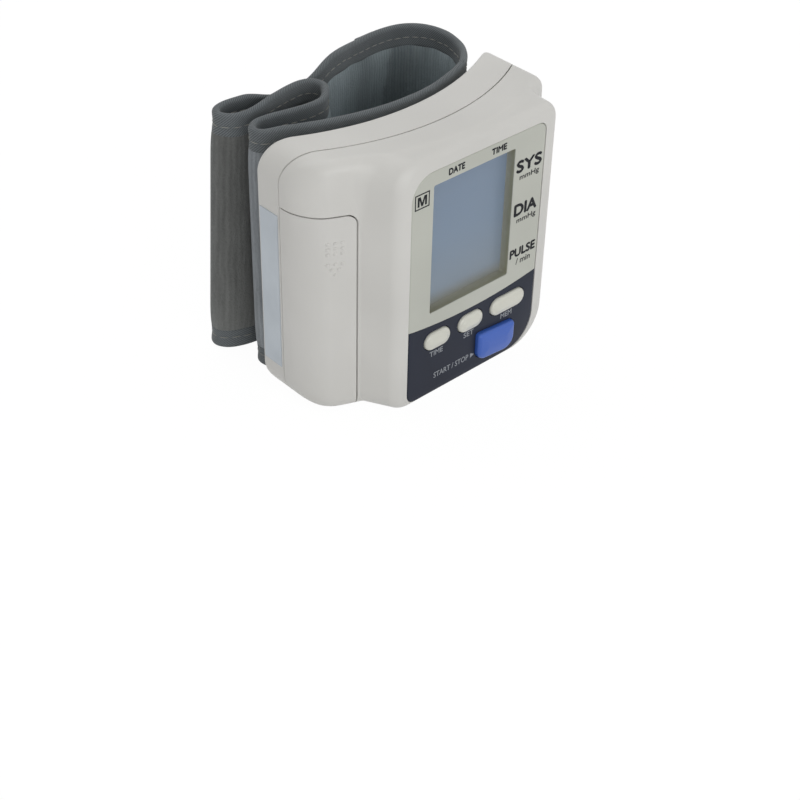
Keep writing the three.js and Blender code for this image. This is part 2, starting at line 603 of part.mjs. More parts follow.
function buildCase() {
  const wholeFront = frontBody(0);
  const shell = wholeFront.subtract(frontBody(WALL)).subtract(behindParting(-PARTING_GAP / 2));
  let front = shell.subtract(coverRegion(COVER.slideGap));
  let cover = shell.intersect(coverRegion(0));
  for (const [x, z] of dotPlaces()) {
    const y = arcY(PARTING_ARC, x, WING_THICKNESS_LEFT);
    cover = cover.add(rod(x, z, DOT.radius, y - DOT.height, y + WALL / 2, alongY, 6));
  }
  add('battery_cover', cover, COVER_PLASTIC);

  front = front.subtract(prism(plateOutline(-PLATE_GAP), -OVERRUN, PLATE_THICKNESS, alongY));
  const rim = LCD.margin + CLEAR;
  front = front.subtract(box(WINDOW.left - rim, WINDOW.right + rim, 0, WALL_BACK + OVERRUN,
    WINDOW.bottom - rim, WINDOW.top + rim));
  for (const key of KEYS) {
    front = front.subtract(prism(key.outline(-CLEAR), 0, WALL_BACK + OVERRUN, alongY));
  }
  for (const place of SCREWS) {
    const to = arcY(PARTING_ARC, place.x) - PARTING_GAP / 2 - CLEAR;
    const boss = rod(place.x, place.z, BOSS_RADIUS, WALL_BACK / 2, to, alongY, SMALL_ROD_SIDES);
    front = front.add(boss.intersect(wholeFront.subtract(prism(plateOutline(-PLATE_GAP), -OVERRUN,
      PLATE_THICKNESS, alongY))));
    const from = to - SCREW.reach - CLEAR;
    const bore = SCREW.radius + CLEAR;
    front = front.subtract(rod(place.x, place.z, bore, from, to + OVERRUN, alongY, SMALL_ROD_SIDES));
  }
  add('front_case', front, CASE_PLASTIC);

  let rear = rearBody(0).subtract(rearBody(WALL)).intersect(behindParting(PARTING_GAP / 2));
  SCREWS.forEach((place, i) => {
    const parting = arcY(PARTING_ARC, place.x) + PARTING_GAP / 2 + CLEAR;
    const back = FAR_BACK + OVERRUN;
    const seat = parting + SCREW.floor;
    const boss = rod(place.x, place.z, BOSS_RADIUS + CLEAR, parting, back, alongY, SMALL_ROD_SIDES);
    rear = rear.add(boss.intersect(rearBody(0)));
    rear = rear.subtract(rod(place.x, place.z, SCREW.radius + CLEAR, parting - OVERRUN, back, alongY,
      SMALL_ROD_SIDES));
    const sunk = SCREW.headRadius + CLEAR;
    rear = rear.subtract(rod(place.x, place.z, sunk, seat, back, alongY, SMALL_ROD_SIDES));
    const headTop = seat + SCREW.headHeight;
    const head = rod(place.x, place.z, SCREW.headRadius, seat, headTop, alongY, SMALL_ROD_SIDES);
    const front0 = arcY(PARTING_ARC, place.x) - PARTING_GAP / 2 - CLEAR;
    const shank = rod(place.x, place.z, SCREW.radius, front0 - SCREW.reach, seat, alongY, SMALL_ROD_SIDES);
    add(`case_screw_${i + 1}`, head.add(shank), STEEL);
  });
  rear = rear.subtract(rod(manifoldX, MANIFOLD.bottom + MANIFOLD.height / 2, NIPPLE_RADIUS + NIPPLE_HOLE_GAP,
    BACK_ARC.low - OVERRUN * 3, FAR_BACK + OVERRUN, alongY, SMALL_ROD_SIDES));
  add('rear_case', rear, CASE_PLASTIC);
  add('label_plate', box(-HALF - LABEL.thickness, -HALF, arcY(PARTING_ARC, -HALF) + LABEL.frontMargin,
    arcY(BACK_ARC, -HALF) - LABEL.backMargin, LABEL.bottom, LABEL.bottom + LABEL.height), LABEL_FOIL);
}

function buildFrontPlate() {
  let plate = prism(plateOutline(0), 0, PLATE_THICKNESS, alongY);
  plate = plate.subtract(prism(windowOutline(0), -OVERRUN, PLATE_THICKNESS + OVERRUN, alongY));
  const tabLeft = WINDOW.left + (WINDOW.right - WINDOW.left) * WINDOW_TAB_share;
  const tab = box(tabLeft, tabLeft + WINDOW_TAB.width, 0, PLATE_THICKNESS,
    WINDOW.bottom - WINDOW_TAB.height, WINDOW.bottom + WINDOW_TAB.height);
  plate = plate.add(tab);
  for (const key of KEYS) {
    plate = plate.subtract(prism(key.outline(-PLATE_GAP * 2), -OVERRUN, PLATE_THICKNESS + OVERRUN, alongY));
  }
  add('display_bezel', plate.subtract(belowNavyEdge(PLATE_GAP / 2)), BEZEL_PLASTIC);
  add('button_panel', plate.intersect(belowNavyEdge(-PLATE_GAP / 2)), NAVY_PLASTIC);
  add('display_window', prism(windowOutline(PANE.margin), PLATE_THICKNESS,
    PLATE_THICKNESS + PANE.thickness, alongY), CLEAR_PANE);
}

function buildKeys() {
  for (const key of KEYS) {
    const rings = roundedEdge(KEY_EDGE, EDGE_STEPS - 1).map(([away, cut]) => ({
      points: key.outline(cut), level: away - key.proud }));
    rings.sort((a, b) => a.level - b.level);
    rings.push({ points: key.outline(0), level: FLANGE_FRONT });
    const cap = solidOf(loft(rings, alongY));
    const flangeBack = FLANGE_FRONT + KEY_FLANGE.thickness;
    const flange = prism(key.outline(-KEY_FLANGE.width), FLANGE_FRONT, flangeBack, alongY);
    const stem = rod(key.switchX, key.switchZ, SWITCH.dotRadius, flangeBack, KEY_BACK, alongY);
    const body = KEY_BACK > flangeBack ? cap.add(flange).add(stem) : cap.add(flange);
    add(`${key.name}_button`, body, key.finish);

    const half = SWITCH.side / 2;
    const base = box(key.switchX - half, key.switchX + half, BOARD_DEPTH - SWITCH.body, BOARD_DEPTH,
      key.switchZ - half, key.switchZ + half);
    const dot = rod(key.switchX, key.switchZ, SWITCH.dotRadius, SWITCH_TOP, BOARD_DEPTH, alongY);
    add(`${key.name}_switch`, base.add(dot), BLACK_PLASTIC);
  }
}

function buildDisplay() {
  const plate = (grow, y0, y1) => box(
    WINDOW.left - LCD.margin - grow, WINDOW.right + LCD.margin + grow, y0, y1,
    WINDOW.bottom - LCD.margin - grow, WINDOW.top + LCD.margin + grow,
  );
  add('lcd_panel', plate(0, LCD_FRONT, LCD_BACK), LCD_GLASS);
  const frame = plate(CLEAR + LCD.frameWall, LCD_BACK - LCD.frameLap, BOARD_DEPTH)
    .subtract(plate(CLEAR, 0, LCD_BACK))
    .subtract(plate(-LCD.frameWall, 0, BOARD_DEPTH + OVERRUN));
  add('lcd_frame', frame, WHITE_PLASTIC);
  const strip = WINDOW.bottom - LCD.margin + LCD.frameWall + CLEAR;
  const side = LCD.margin - LCD.frameWall - CLEAR;
  add('lcd_connector', box(WINDOW.left - side, WINDOW.right + side, LCD_BACK, BOARD_DEPTH, strip,
    strip + LCD.connector), RUBBER);
}

function buildBoard() {
  const outline = roundedRectangle(BOARD.left, BOARD.right, BOARD.bottom, BOARD.top, BOARD_CORNERS);
  let board = prism(outline, BOARD_DEPTH, BOARD_BACK, alongY);
  for (const place of SCREWS) {
    board = board.subtract(rod(place.x, place.z, BOSS_RADIUS + 2 * CLEAR, BOARD_DEPTH - OVERRUN,
      BOARD_BACK + OVERRUN, alongY));
  }
  add('main_board', board, GREEN_BOARD);
  const block = (name, side, depth) => box(boardX(name) - side / 2, boardX(name) + side / 2, BOARD_BACK,
    BOARD_BACK + depth, boardZ(name) - side / 2, boardZ(name) + side / 2);
  add('controller_chip', block('chip', CHIP.side, CHIP.thickness), BLACK_PLASTIC);
  const buzzerBack = BOARD_BACK + BUZZER.thickness;
  const buzzer = rod(boardX('buzzer'), boardZ('buzzer'), BUZZER.radius, BOARD_BACK, buzzerBack, alongY);
  add('buzzer', buzzer, BRASS);
  const sensorBack = BOARD_BACK + SENSOR.thickness;
  const port = rod(boardX('sensor'), boardZ('sensor'), SENSOR.port, sensorBack - CLEAR,
    sensorBack + SENSOR.portLength, alongY, SMALL_ROD_SIDES);
  add('pressure_sensor', block('sensor', SENSOR.side, SENSOR.thickness).add(port), WHITE_PLASTIC);
}

// Spigot that a tube slips over, and the tube itself along a smooth route between two spigots
function spigot(base, direction, reach) {
  const from = new THREE.Vector3(...base);
  const axis = new THREE.Vector3(...direction);
  const radius = TUBE.spigotRadius;
  const geometry = new THREE.CylinderGeometry(radius, radius, reach + CLEAR, SMALL_ROD_SIDES);
  geometry.applyQuaternion(new THREE.Quaternion().setFromUnitVectors(new THREE.Vector3(0, 1, 0), axis));
  const middle = from.addScaledVector(axis, (reach - CLEAR) / 2);
  geometry.translate(middle.x, middle.y, middle.z);
  return solidOf(geometry);
}

function tube(name, start, startOut, end, endOut, steps) {
  const a = new THREE.Vector3(...start);
  const b = new THREE.Vector3(...end);
  const outA = new THREE.Vector3(...startOut);
  const outB = new THREE.Vector3(...endOut);
  const straight = TUBE.spigotReach + CLEAR;
  const a0 = a.clone().addScaledVector(outA, CLEAR);
  const b0 = b.clone().addScaledVector(outB, CLEAR);
  const a1 = a0.clone().addScaledVector(outA, straight);
  const b1 = b0.clone().addScaledVector(outB, straight);
  const bend = a1.distanceTo(b1) / 2;
  const path = new THREE.CurvePath();
  path.add(new THREE.LineCurve3(a0, a1));
  path.add(new THREE.CubicBezierCurve3(a1, a1.clone().addScaledVector(outA, bend),
    b1.clone().addScaledVector(outB, bend), b1));
  path.add(new THREE.LineCurve3(b1, b0));
  const section = new THREE.Shape();
  section.absarc(0, 0, TUBE.radius, 0, 2 * Math.PI);
  const bore = new THREE.Path();
  bore.absarc(0, 0, TUBE.bore, 0, 2 * Math.PI, true);
  section.holes.push(bore);
  const geometry = new THREE.ExtrudeGeometry(section, { steps, extrudePath: path, curveSegments: 4 });
  add(name, solidOf(geometry), SILICONE_TUBE);
}

const motorPlace = [boardX('motor'), BOARD_BACK + CLEAR + MOTOR.radius];
const valvePlace = [valveX, BOARD_BACK + CLEAR + VALVE.radius];
function buildPneumatics() {
  const top = MOTOR.bottom + MOTOR.length;
  const motor = (radius, from, to, sides) => rod(...motorPlace, radius, from, to, alongZ, sides);
  const shaftBottom = top - MOTOR_SHAFT.sunk;
  add('pump_motor', motor(MOTOR.radius, MOTOR.bottom, top)
    .subtract(motor(MOTOR_SHAFT.bore, shaftBottom - CLEAR, top + OVERRUN, SMALL_ROD_SIDES)), STEEL);
  const [motorX, motorY] = motorPlace;
  const disc = rod(motorX + ECCENTRIC.offset, motorY, ECCENTRIC.radius, top + ECCENTRIC.lift,
    top + ECCENTRIC.lift + ECCENTRIC.thickness, alongZ);
  add('motor_shaft', disc.add(motor(MOTOR_SHAFT.radius, shaftBottom, shaftBottom + MOTOR_SHAFT.length,
    SMALL_ROD_SIDES)), BRASS);

  const headTop = top + PUMP_HEAD.height;
  const half = PUMP_HEAD.side / 2;
  const head = box(motorX - half, motorX + half, motorY - half, motorY + half, top, headTop)
    .subtract(motor(PUMP_HEAD.cavity, top - OVERRUN, headTop - PUMP_HEAD.roof))
    .add(motor(PUMP_HEAD.neck, headTop - CLEAR, headTop + CLEAR, SMALL_ROD_SIDES))
    .add(spigot([motorX, motorY, headTop + CLEAR], [0, 0, 1], TUBE.spigotReach));
  add('pump_head', head, BLACK_PLASTIC);

  const valveTop = VALVE.bottom + VALVE.length;
  const valve = (radius, from, to, sides) => rod(...valvePlace, radius, from, to, alongZ, sides);
  const wellTop = VALVE.bottom + PLUNGER.sunk + PLUNGER.travel + CLEAR;
  add('valve_body', valve(VALVE.radius, VALVE.bottom, valveTop)
    .subtract(valve(PLUNGER.bore, VALVE.bottom - OVERRUN, wellTop, SMALL_ROD_SIDES))
    .add(spigot([...valvePlace, valveTop], [0, 0, 1], TUBE.spigotReach)), STEEL);
  const knobTop = VALVE.bottom - PLUNGER.gap;
  add('valve_plunger', valve(PLUNGER.headRadius, knobTop - PLUNGER.headHeight, knobTop)
    .add(valve(PLUNGER.radius, knobTop, VALVE.bottom + PLUNGER.sunk, SMALL_ROD_SIDES)), BRASS);

  const m = MANIFOLD;
  const blockBack = arcY(BACK_ARC, manifoldX, WALL) - CLEAR;
  const nippleEnd = arcY(BACK_ARC, manifoldX) - CLEAR / 2;
  const middleY = blockBack - m.depth / 2;
  const middleZ = m.bottom + m.height / 2;
  const upper = [manifoldX, middleY, m.bottom + m.height];
  const lower = [manifoldX, middleY, m.bottom];
  add('air_manifold', box(manifoldX - m.width / 2, manifoldX + m.width / 2, blockBack - m.depth, blockBack,
    m.bottom, m.bottom + m.height)
    .add(rod(manifoldX, middleZ, NIPPLE_RADIUS, blockBack - CLEAR, nippleEnd, alongY, SMALL_ROD_SIDES))
    .add(spigot(upper, [0, 0, 1], TUBE.spigotReach))
    .add(spigot(lower, [0, 0, -1], TUBE.spigotReach)), WHITE_PLASTIC);
  tube('pump_tube', [motorX, motorY, headTop + CLEAR], [0, 0, 1], upper, [0, 0, 1], 14);
  tube('valve_tube', [...valvePlace, valveTop], [0, 0, 1], lower, [0, 0, -1], 9);
}

// The cells stand side by side, each midway between the wing's skin and the back of the case
const CELL_PLACES = [0, 1].map((i) => {
  const x = -HALF + WALL + 2 * CLEAR + CELL.radius + i * (2 * CELL.radius + CELL.apart);
  const front = arcY(PARTING_ARC, x, WING_THICKNESS_LEFT - WALL);
  return { x, y: (front + arcY(BACK_ARC, x, WALL)) / 2 };
});
const BAY_RIGHT = CELL_PLACES[1].x + CELL.radius + CLEAR;
function buildBatteryBay() {
  const b = BAY;
  const inset = WALL + CLEAR;
  const floor = b.bottom - b.plate;
  const roof = BAY_TOP + b.plate;
  const room = prism(wingPlan(inset), floor, roof, alongZ)
    .intersect(prism(rearPlan(inset), floor, roof, alongZ))
    .intersect(frontViewBar(inset));
  const right = BAY_RIGHT + b.wall;
  const slab = (x0, z0, z1) => box(x0, right, BOARD_BACK + b.boardGap, FAR_BACK, z0, z1);
  const ends = slab(-HALF, floor, b.bottom).add(slab(-HALF, BAY_TOP, roof));
  add('battery_tray', room.intersect(ends.add(slab(BAY_RIGHT, floor, roof))), WHITE_PLASTIC);

  const low = b.bottom + CONTACT.thickness;
  const high = BAY_TOP - CONTACT.thickness;
  const strip = (z0, z1) => {
    const half = CONTACT.side / 2;
    const [p, q] = CELL_PLACES;
    const middle = (p.y + q.y) / 2;
    const plates = CELL_PLACES.map(({ x, y }) => box(x - half, x + half, y - half, y + half, z0, z1));
    return plates[0].add(plates[1]).add(box(p.x, q.x, middle - half / 2, middle + half / 2, z0, z1));
  };
  add('battery_contact_bottom', strip(b.bottom, low), STEEL);
  add('battery_contact_top', strip(high, BAY_TOP), STEEL);

  // The first cell stands nub up on its spring, the second nub down under its spring
  CELL_PLACES.forEach(({ x, y }, i) => {
    const sign = i === 0 ? 1 : -1;
    const nubEnd = i === 0 ? high - CLEAR : low + CLEAR;
    const shoulder = nubEnd - sign * CELL.nubHeight;
    const flatEnd = nubEnd - sign * CELL.length;
    const springBase = i === 0 ? low : high;
    const along = (radius, from, to) => rod(x, y, radius, Math.min(from, to), Math.max(from, to), alongZ);
    add(`battery_${i + 1}`, along(CELL.radius, flatEnd, shoulder)
      .add(along(CELL.nubRadius, shoulder - sign * CLEAR, nubEnd)), CELL_SLEEVE);

    const springTop = flatEnd - sign * CLEAR;
    const ring = (radius, level) => ({ points: circle(x, y, radius), level });
    const cone = (cut) => solidOf(loft([
      ring(SPRING.bottomRadius - cut, springBase - sign * cut),
      ring(SPRING.topRadius - cut, springTop + sign * cut),
    ], alongZ));
    const over = sign * OVERRUN;
    const bore = along(SPRING.topRadius - SPRING.wire, springBase - over, springTop + over);
    add(`battery_spring_${i + 1}`, cone(0).subtract(bore), STEEL);
  });
}

// Corners merged, empty faces dropped and the rest turned outwards
function closedFrom(geometry) {
  const bare = geometry.clone();
  bare.deleteAttribute('normal');
  bare.deleteAttribute('uv');
  const merged = mergeVertices(bare, CLEAR * 1e-4);
  const index = Array.from(merged.index.array);
  const faces = [];
  for (let i = 0; i < index.length; i += 3) {
    faces.push(index.slice(i, i + 3));
  }
  const whole = faces.filter(([a, b, c]) => a !== b && b !== c && c !== a);
  return closedGeometry(Array.from(merged.attributes.position.array), whole);
}

// Middle line of the cuff, evenly sampled, with its outward direction at each sample
const cuffPath = [
  ...CUFF_RUN_shares.map(([across, lift]) => {
    const x = CASE_WIDTH * across - HALF;
    return [x, arcY(BACK_ARC, x) + CUFF_SEAT + CUFF_DEPTH * lift];
  }),
  ...CUFF_LOOP_shares.map(([across, deep]) => (
    [CASE_WIDTH * across - HALF, BACK_ARC.low + CUFF_DEPTH * deep]
  )),
];
const cuffCurve = new THREE.CatmullRomCurve3(
  cuffPath.map(([x, y]) => new THREE.Vector3(x, y, 0)), true, 'centripetal');
function cuffSample(share) {
  const at = cuffCurve.getPointAt(share);
  const along = cuffCurve.getTangentAt(share);
  return { x: at.x, y: at.y, outX: -along.y, outY: along.x };
}
const cuffSamples = Array.from({ length: CUFF_STEPS }, (_, i) => cuffSample(i / CUFF_STEPS));
function cuffStretch(start, end, steps) {
  return Array.from({ length: steps + 1 }, (_, i) => cuffSample(start + ((end - start) * i) / steps));
}

// Band swept round the cuff's middle line. The section is a list of [offset outwards, height].
function sweepBand(section, samples, closed) {
  const count = section.length;
  const corner = (s, [out, z]) => [s.x + s.outX * out, s.y + s.outY * out, z];
  const positions = samples.flatMap((s) => section.flatMap((place) => corner(s, place)));
  const faces = [];
  const last = closed ? samples.length : samples.length - 1;
  for (let k = 0; k < last; k += 1) {
    const next = (k + 1) % samples.length;
    for (let i = 0; i < count; i += 1) {
      const j = (i + 1) % count;
      faces.push([k * count + i, k * count + j, next * count + j]);
      faces.push([k * count + i, next * count + j, next * count + i]);
    }
  }
  if (!closed) {
    const end = (samples.length - 1) * count;
    for (const [a, b, c] of capFaces(section)) {
      faces.push([a, c, b], [end + a, end + b, end + c]);
    }
  }
  return closedFrom(closedGeometry(positions, faces));
}

// Cloth face from its inner to its outer offset, puffed out between the bindings
function clothSection(inner, outer, puffSign) {
  const low = CUFF_BOTTOM + BINDING.thickness + BINDING.gap;
  const high = CUFF_TOP - BINDING.thickness - BINDING.gap;
  const rows = [
    [low, 0],
    [CUFF_BOTTOM + BINDING.height, 0],
    [CUFF_BOTTOM + BINDING.height + PUFF_SHOULDER, PUFF],
    [CUFF_TOP - BINDING.height - PUFF_SHOULDER, PUFF],
    [CUFF_TOP - BINDING.height, 0],
    [high, 0],
  ];
  const up = rows.map(([z, puff]) => [outer + puffSign * puff, z]);
  const down = rows.map(([z, puff]) => [inner + puffSign * puff, z]).reverse();
  return [...up, ...down];
}

function bindingSection(edge, sign) {
  const inner = HALF_BAND + BINDING.gap;
  const outer = inner + BINDING.thickness;
  const foot = edge - sign * BINDING.height;
  const crown = edge - sign * BINDING.round;
  const under = edge - sign * (BINDING.thickness);
  return [
    [-outer, foot], [-outer, crown], [-outer / 2, edge], [outer / 2, edge], [outer, crown], [outer, foot],
    [inner, foot], [inner, under], [-inner, under], [-inner, foot],
  ];
}

function buildCuff() {
  const middle = BLADDER.thickness / 2;
  const cloth = clothSection(middle + LAYER_GAP, HALF_BAND, 1);
  const lining = clothSection(-HALF_BAND, -middle - LAYER_GAP, -1);
  add('cuff_outer_cloth', solidOf(sweepBand(cloth, cuffSamples, true)), CUFF_PLUSH);
  add('cuff_lining', solidOf(sweepBand(lining, cuffSamples, true)), CUFF_RIB);
  add('cuff_binding_top', solidOf(sweepBand(bindingSection(CUFF_TOP, 1), cuffSamples, true)), BINDING_TAPE);
  add('cuff_binding_bottom', solidOf(sweepBand(bindingSection(CUFF_BOTTOM, -1), cuffSamples, true)),
    BINDING_TAPE);

  const bag = cuffStretch(...BLADDER_SPAN_shares, 2 * LONG_ARC_STEPS);
  const bagSection = [
    [middle, CUFF_BOTTOM + BLADDER.inset], [middle, CUFF_TOP - BLADDER.inset],
    [-middle, CUFF_TOP - BLADDER.inset], [-middle, CUFF_BOTTOM + BLADDER.inset],
  ];
  add('cuff_bladder', solidOf(sweepBand(bagSection, bag, false)), BLADDER_FILM);

  const p = CUFF_PLATE;
  const steps = 2 * LONG_ARC_STEPS;
  const plateWidth = CASE_WIDTH - p.leftMargin - p.rightMargin;
  const run = (offset) => Array.from({ length: steps + 1 }, (_, i) => {
    const x = p.leftMargin - HALF + (plateWidth * i) / steps;
    return [x, arcY(BACK_ARC, x, -offset)];
  });
  const outline = [...run(p.gap), ...run(p.gap + p.thickness).reverse()];
  add('cuff_plate', prism(outline, p.bottomMargin, CASE_HEIGHT - p.topMargin, alongZ), WHITE_PLASTIC);

  const e = END_TAB;
  const top = CASE_HEIGHT - e.topMargin;
  const back = cuffStretch(...END_TAB_shares, LONG_ARC_STEPS);
  const hookIn = HALF_BAND + PUFF + e.gap;
  const hookOut = hookIn + e.hook;
  const strip = (inner, outer, low, high) => [[outer, low], [outer, high], [inner, high], [inner, low]];
  const patch = strip(hookIn, hookOut, e.bottom + e.hookMargin, top - e.hookMargin);
  add('hook_patch', solidOf(sweepBand(patch, back.slice(1, -1), false)), BLACK_PLASTIC);
  add('cuff_end_tab', solidOf(sweepBand(strip(hookOut, hookOut + e.thickness, e.bottom, top), back, false)),
    CUFF_PLUSH);
}

buildCase();
buildFrontPlate();
buildKeys();
buildDisplay();
buildBoard();
buildPneumatics();
buildBatteryBay();
buildCuff();

// The part's own origin lies under the middle of its box
const bounds = new THREE.Box3().setFromObject(part);
const centre = bounds.getCenter(new THREE.Vector3());
part.position.set(-centre.x, -centre.y, -bounds.min.z);

export default part;
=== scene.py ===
"""Looks of a wrist blood pressure monitor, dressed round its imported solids.

Shapes are worked out in millimetres: X = 0 halfway across the case, Y = 0 on the front plate and
Z = 0 under the case. row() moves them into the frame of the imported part, in metres.
"""

import json
import math
from functools import partial

import bmesh
import bpy
import numpy as np
from mathutils import Euler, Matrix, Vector


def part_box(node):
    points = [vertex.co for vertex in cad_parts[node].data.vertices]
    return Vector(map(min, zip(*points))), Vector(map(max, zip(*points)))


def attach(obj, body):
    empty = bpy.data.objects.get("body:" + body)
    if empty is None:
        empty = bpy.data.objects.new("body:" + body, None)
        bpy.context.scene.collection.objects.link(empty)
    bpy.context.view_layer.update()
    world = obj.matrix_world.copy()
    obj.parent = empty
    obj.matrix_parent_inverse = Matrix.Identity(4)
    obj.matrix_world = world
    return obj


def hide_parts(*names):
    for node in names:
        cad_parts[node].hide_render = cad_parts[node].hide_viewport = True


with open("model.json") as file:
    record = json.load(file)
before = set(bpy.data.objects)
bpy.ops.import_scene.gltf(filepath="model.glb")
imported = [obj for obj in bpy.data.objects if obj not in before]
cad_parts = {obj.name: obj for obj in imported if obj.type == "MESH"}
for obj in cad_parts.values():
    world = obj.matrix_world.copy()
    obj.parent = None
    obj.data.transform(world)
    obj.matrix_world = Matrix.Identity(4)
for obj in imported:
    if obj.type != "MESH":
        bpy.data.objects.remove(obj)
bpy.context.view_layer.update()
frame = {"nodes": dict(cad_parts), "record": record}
nodes = frame["nodes"]

# Millimetre in metres, full turn, and the case's half width and height
MM = 0.001
TURN = 2 * math.pi
HALF = 36.8
HEIGHT = 70.0
SHIFT = np.array([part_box("front_case")[0].x / MM + HALF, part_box("display_bezel")[0].y / MM, 0.0])


def row(points):
    """Points in millimetres, moved by the layout's shift, in metres."""
    return (np.asarray(points, float) + SHIFT) * MM


def in_scene(name, data):
    """Object that shows a mesh, a curve, a lamp or the camera, linked to the scene."""
    made = bpy.data.objects.new(name, data)
    bpy.context.scene.collection.objects.link(made)
    return made


# Camera, lights and floor: places in millimetres, turns in degrees, sizes in metres, power in watts

CAMERA_PLACE = (-235.54, -230.87, 254.63)
CAMERA_TURN = (51.662, -1.103, -42.327)
CAMERA_LENS, CAMERA_SENSOR = 73.8, 36
CAMERA_NEAR, CAMERA_FAR = 0.01, 20
LOOK_AT = (-8.0, 14.0, 34.0)
LAMPS = {
    "key_light": ((-265, -745, 150), 0.8, 3.5),
    "top_light": ((0, 440, 860), 0.9, 2.6),
    "fill_light": ((640, -300, 420), 0.8, 0.6),
}
WHITE, WHITE_STRENGTH = (1, 1, 1, 1), 1.04
ROOM, ROOM_STRENGTH = (1.0, 0.995, 0.985, 1), 0.38
FLOOR_GREY, FLOOR_GLOW, FLOOR_REACH = (0.8, 0.8, 0.8, 1), 0.93, 3.0


def make_camera():
    """Camera where the photograph was taken from, with its lens for a square frame."""
    data = bpy.data.cameras.new("camera")
    data.sensor_width = CAMERA_SENSOR
    data.lens = CAMERA_LENS
    data.clip_start, data.clip_end = CAMERA_NEAR, CAMERA_FAR
    camera = in_scene("camera", data)
    camera.location = row(CAMERA_PLACE)
    camera.rotation_euler = Euler([math.radians(a) for a in CAMERA_TURN])
    bpy.context.scene.camera = camera


def make_lamps():
    """Square area lamps, turned to the middle of the case."""
    for name, (place, size, watts) in LAMPS.items():
        data = bpy.data.lights.new(name, "AREA")
        data.shape, data.size, data.energy = "SQUARE", size, watts
        lamp = in_scene(name, data)
        lamp.location = row(place)
        aim = Vector(row(LOOK_AT)) - lamp.location
        lamp.rotation_euler = aim.to_track_quat("-Z", "Y").to_euler()


def empty_tree(owner):
    """Node tree of a material or the world, cleared."""
    owner.use_nodes = True
    owner.node_tree.nodes.clear()
    return owner.node_tree


def shader_node(tree, kind, **values):
    """Node of a kind, with each value on its property or, if it has none, on its input."""
    made = tree.nodes.new(kind)
    for key, value in values.items():
        if hasattr(made, key):
            setattr(made, key, value)
        else:
            made.inputs[key.replace("_", " ")].default_value = value
    return made


def feed(tree, value, socket):
    """Links an output to an input, or sets the input where the value is a number or a colour."""
    if isinstance(value, bpy.types.NodeSocket):
        tree.links.new(value, socket)
    else:
        socket.default_value = value


def arithmetic(tree, operation, *values):
    """Output of a math node on sockets and numbers."""
    made = shader_node(tree, "ShaderNodeMath", operation=operation)
    for value, socket in zip(values, made.inputs):
        feed(tree, value, socket)
    return made.outputs[0]


def white_rays(tree):
    """1 on rays from the camera, and on glossy and transmitted rays, else 0."""
    path = tree.nodes.new("ShaderNodeLightPath").outputs
    first = arithmetic(tree, "MAXIMUM", path["Is Camera Ray"], path["Is Glossy Ray"])
    return arithmetic(tree, "MAXIMUM", first, path["Is Transmission Ray"])


def lay_surface(tree, share, plain, white, output):
    """Surface of a plain shader, with a white one in its place by a share."""
    mix = tree.nodes.new("ShaderNodeMixShader")
    for value, socket in zip((share, plain.outputs[0], white.outputs[0]), mix.inputs):
        feed(tree, value, socket)
    tree.links.new(mix.outputs[0], tree.nodes.new(output).inputs["Surface"])


def background_world():
    """White where the camera, a reflection or a refraction looks, and a dimmer even light on the part."""
    world = bpy.data.worlds.new("studio")
    bpy.context.scene.world = world
    tree = empty_tree(world)
    room = shader_node(tree, "ShaderNodeBackground", Color=ROOM, Strength=ROOM_STRENGTH)
    white = shader_node(tree, "ShaderNodeBackground", Color=WHITE, Strength=WHITE_STRENGTH)
    lay_surface(tree, white_rays(tree), room, white, "ShaderNodeOutputWorld")


def make_floor():
    """Wide flat floor just under the case: its own white on top of a weak shadow-catching grey."""
    mesh = bpy.data.meshes.new("floor")
    corners = [(FLOOR_REACH * x, FLOOR_REACH * y, 0) for x, y in ((-1, -1), (1, -1), (1, 1), (-1, 1))]
    mesh.from_pydata(corners, [], [(0, 1, 2, 3)])
    material = bpy.data.materials.new("floor")
    mesh.materials.append(material)
    tree = empty_tree(material)
    paper = shader_node(tree, "ShaderNodeBsdfDiffuse", Color=FLOOR_GREY)
    glow = shader_node(tree, "ShaderNodeEmission", Color=WHITE, Strength=WHITE_STRENGTH)
    share = arithmetic(tree, "MULTIPLY", white_rays(tree), FLOOR_GLOW)
    lay_surface(tree, share, paper, glow, "ShaderNodeOutputMaterial")
    in_scene("floor", mesh)


# Middle line of the cuff

CUFF_WAY = [
    (27.5, 30.0), (20.1, 27.2), (10.3, 25.0), (0.3, 24.5), (-9.5, 26.0), (-19.7, 29.1), (-27.5, 32.6),
    (-31.2, 35.4), (-31.6, 38.4), (-29.4, 40.3), (-25.7, 40.5), (-19.6, 39.3), (-13.8, 38.5),
    (-10.0, 38.9), (-7.7, 40.6), (-5.9, 43.4), (-6.9, 46.0), (-9.9, 47.1), (-13.7, 47.0),
    (-18.5, 46.1), (-24.6, 45.0), (-29.0, 45.2), (-32.1, 46.5), (-33.4, 48.8), (-32.4, 51.1),
    (-29.6, 52.1), (-24.6, 51.7), (-18.6, 50.7), (-13.0, 50.6), (-7.2, 51.0), (-1.2, 52.0),
    (6.2, 53.9), (15.0, 56.3), (23.9, 57.1), (30.9, 55.3), (35.3, 51.2), (37.0, 45.9), (35.9, 40.0),
    (32.5, 34.4),
]

# Points between each two places of the middle line, steps of the sweep along the whole of it, the share of
# the way over which its direction is taken, and the way along within which a strand is still the same one
CURVE_PARTS, CUFF_STEPS, AHEAD_SHARE, SAME_STRAND = 60, 760, 0.0008, 8

# Levels of the cuff's edges, and half its thickness in cloth and in tape
CUFF_LOW, CUFF_HIGH = 0.7, 68.5
CLOTH_HALF, TAPE_HALF = 0.8, 0.94

# Tape: its thickness, how far it comes down, where its seam runs, how far the cloth is drawn in under it
TAPE_THIN, TAPE_FALL, SEAM_FALL, TUCK = 0.28, 5.8, 3.4, 0.24

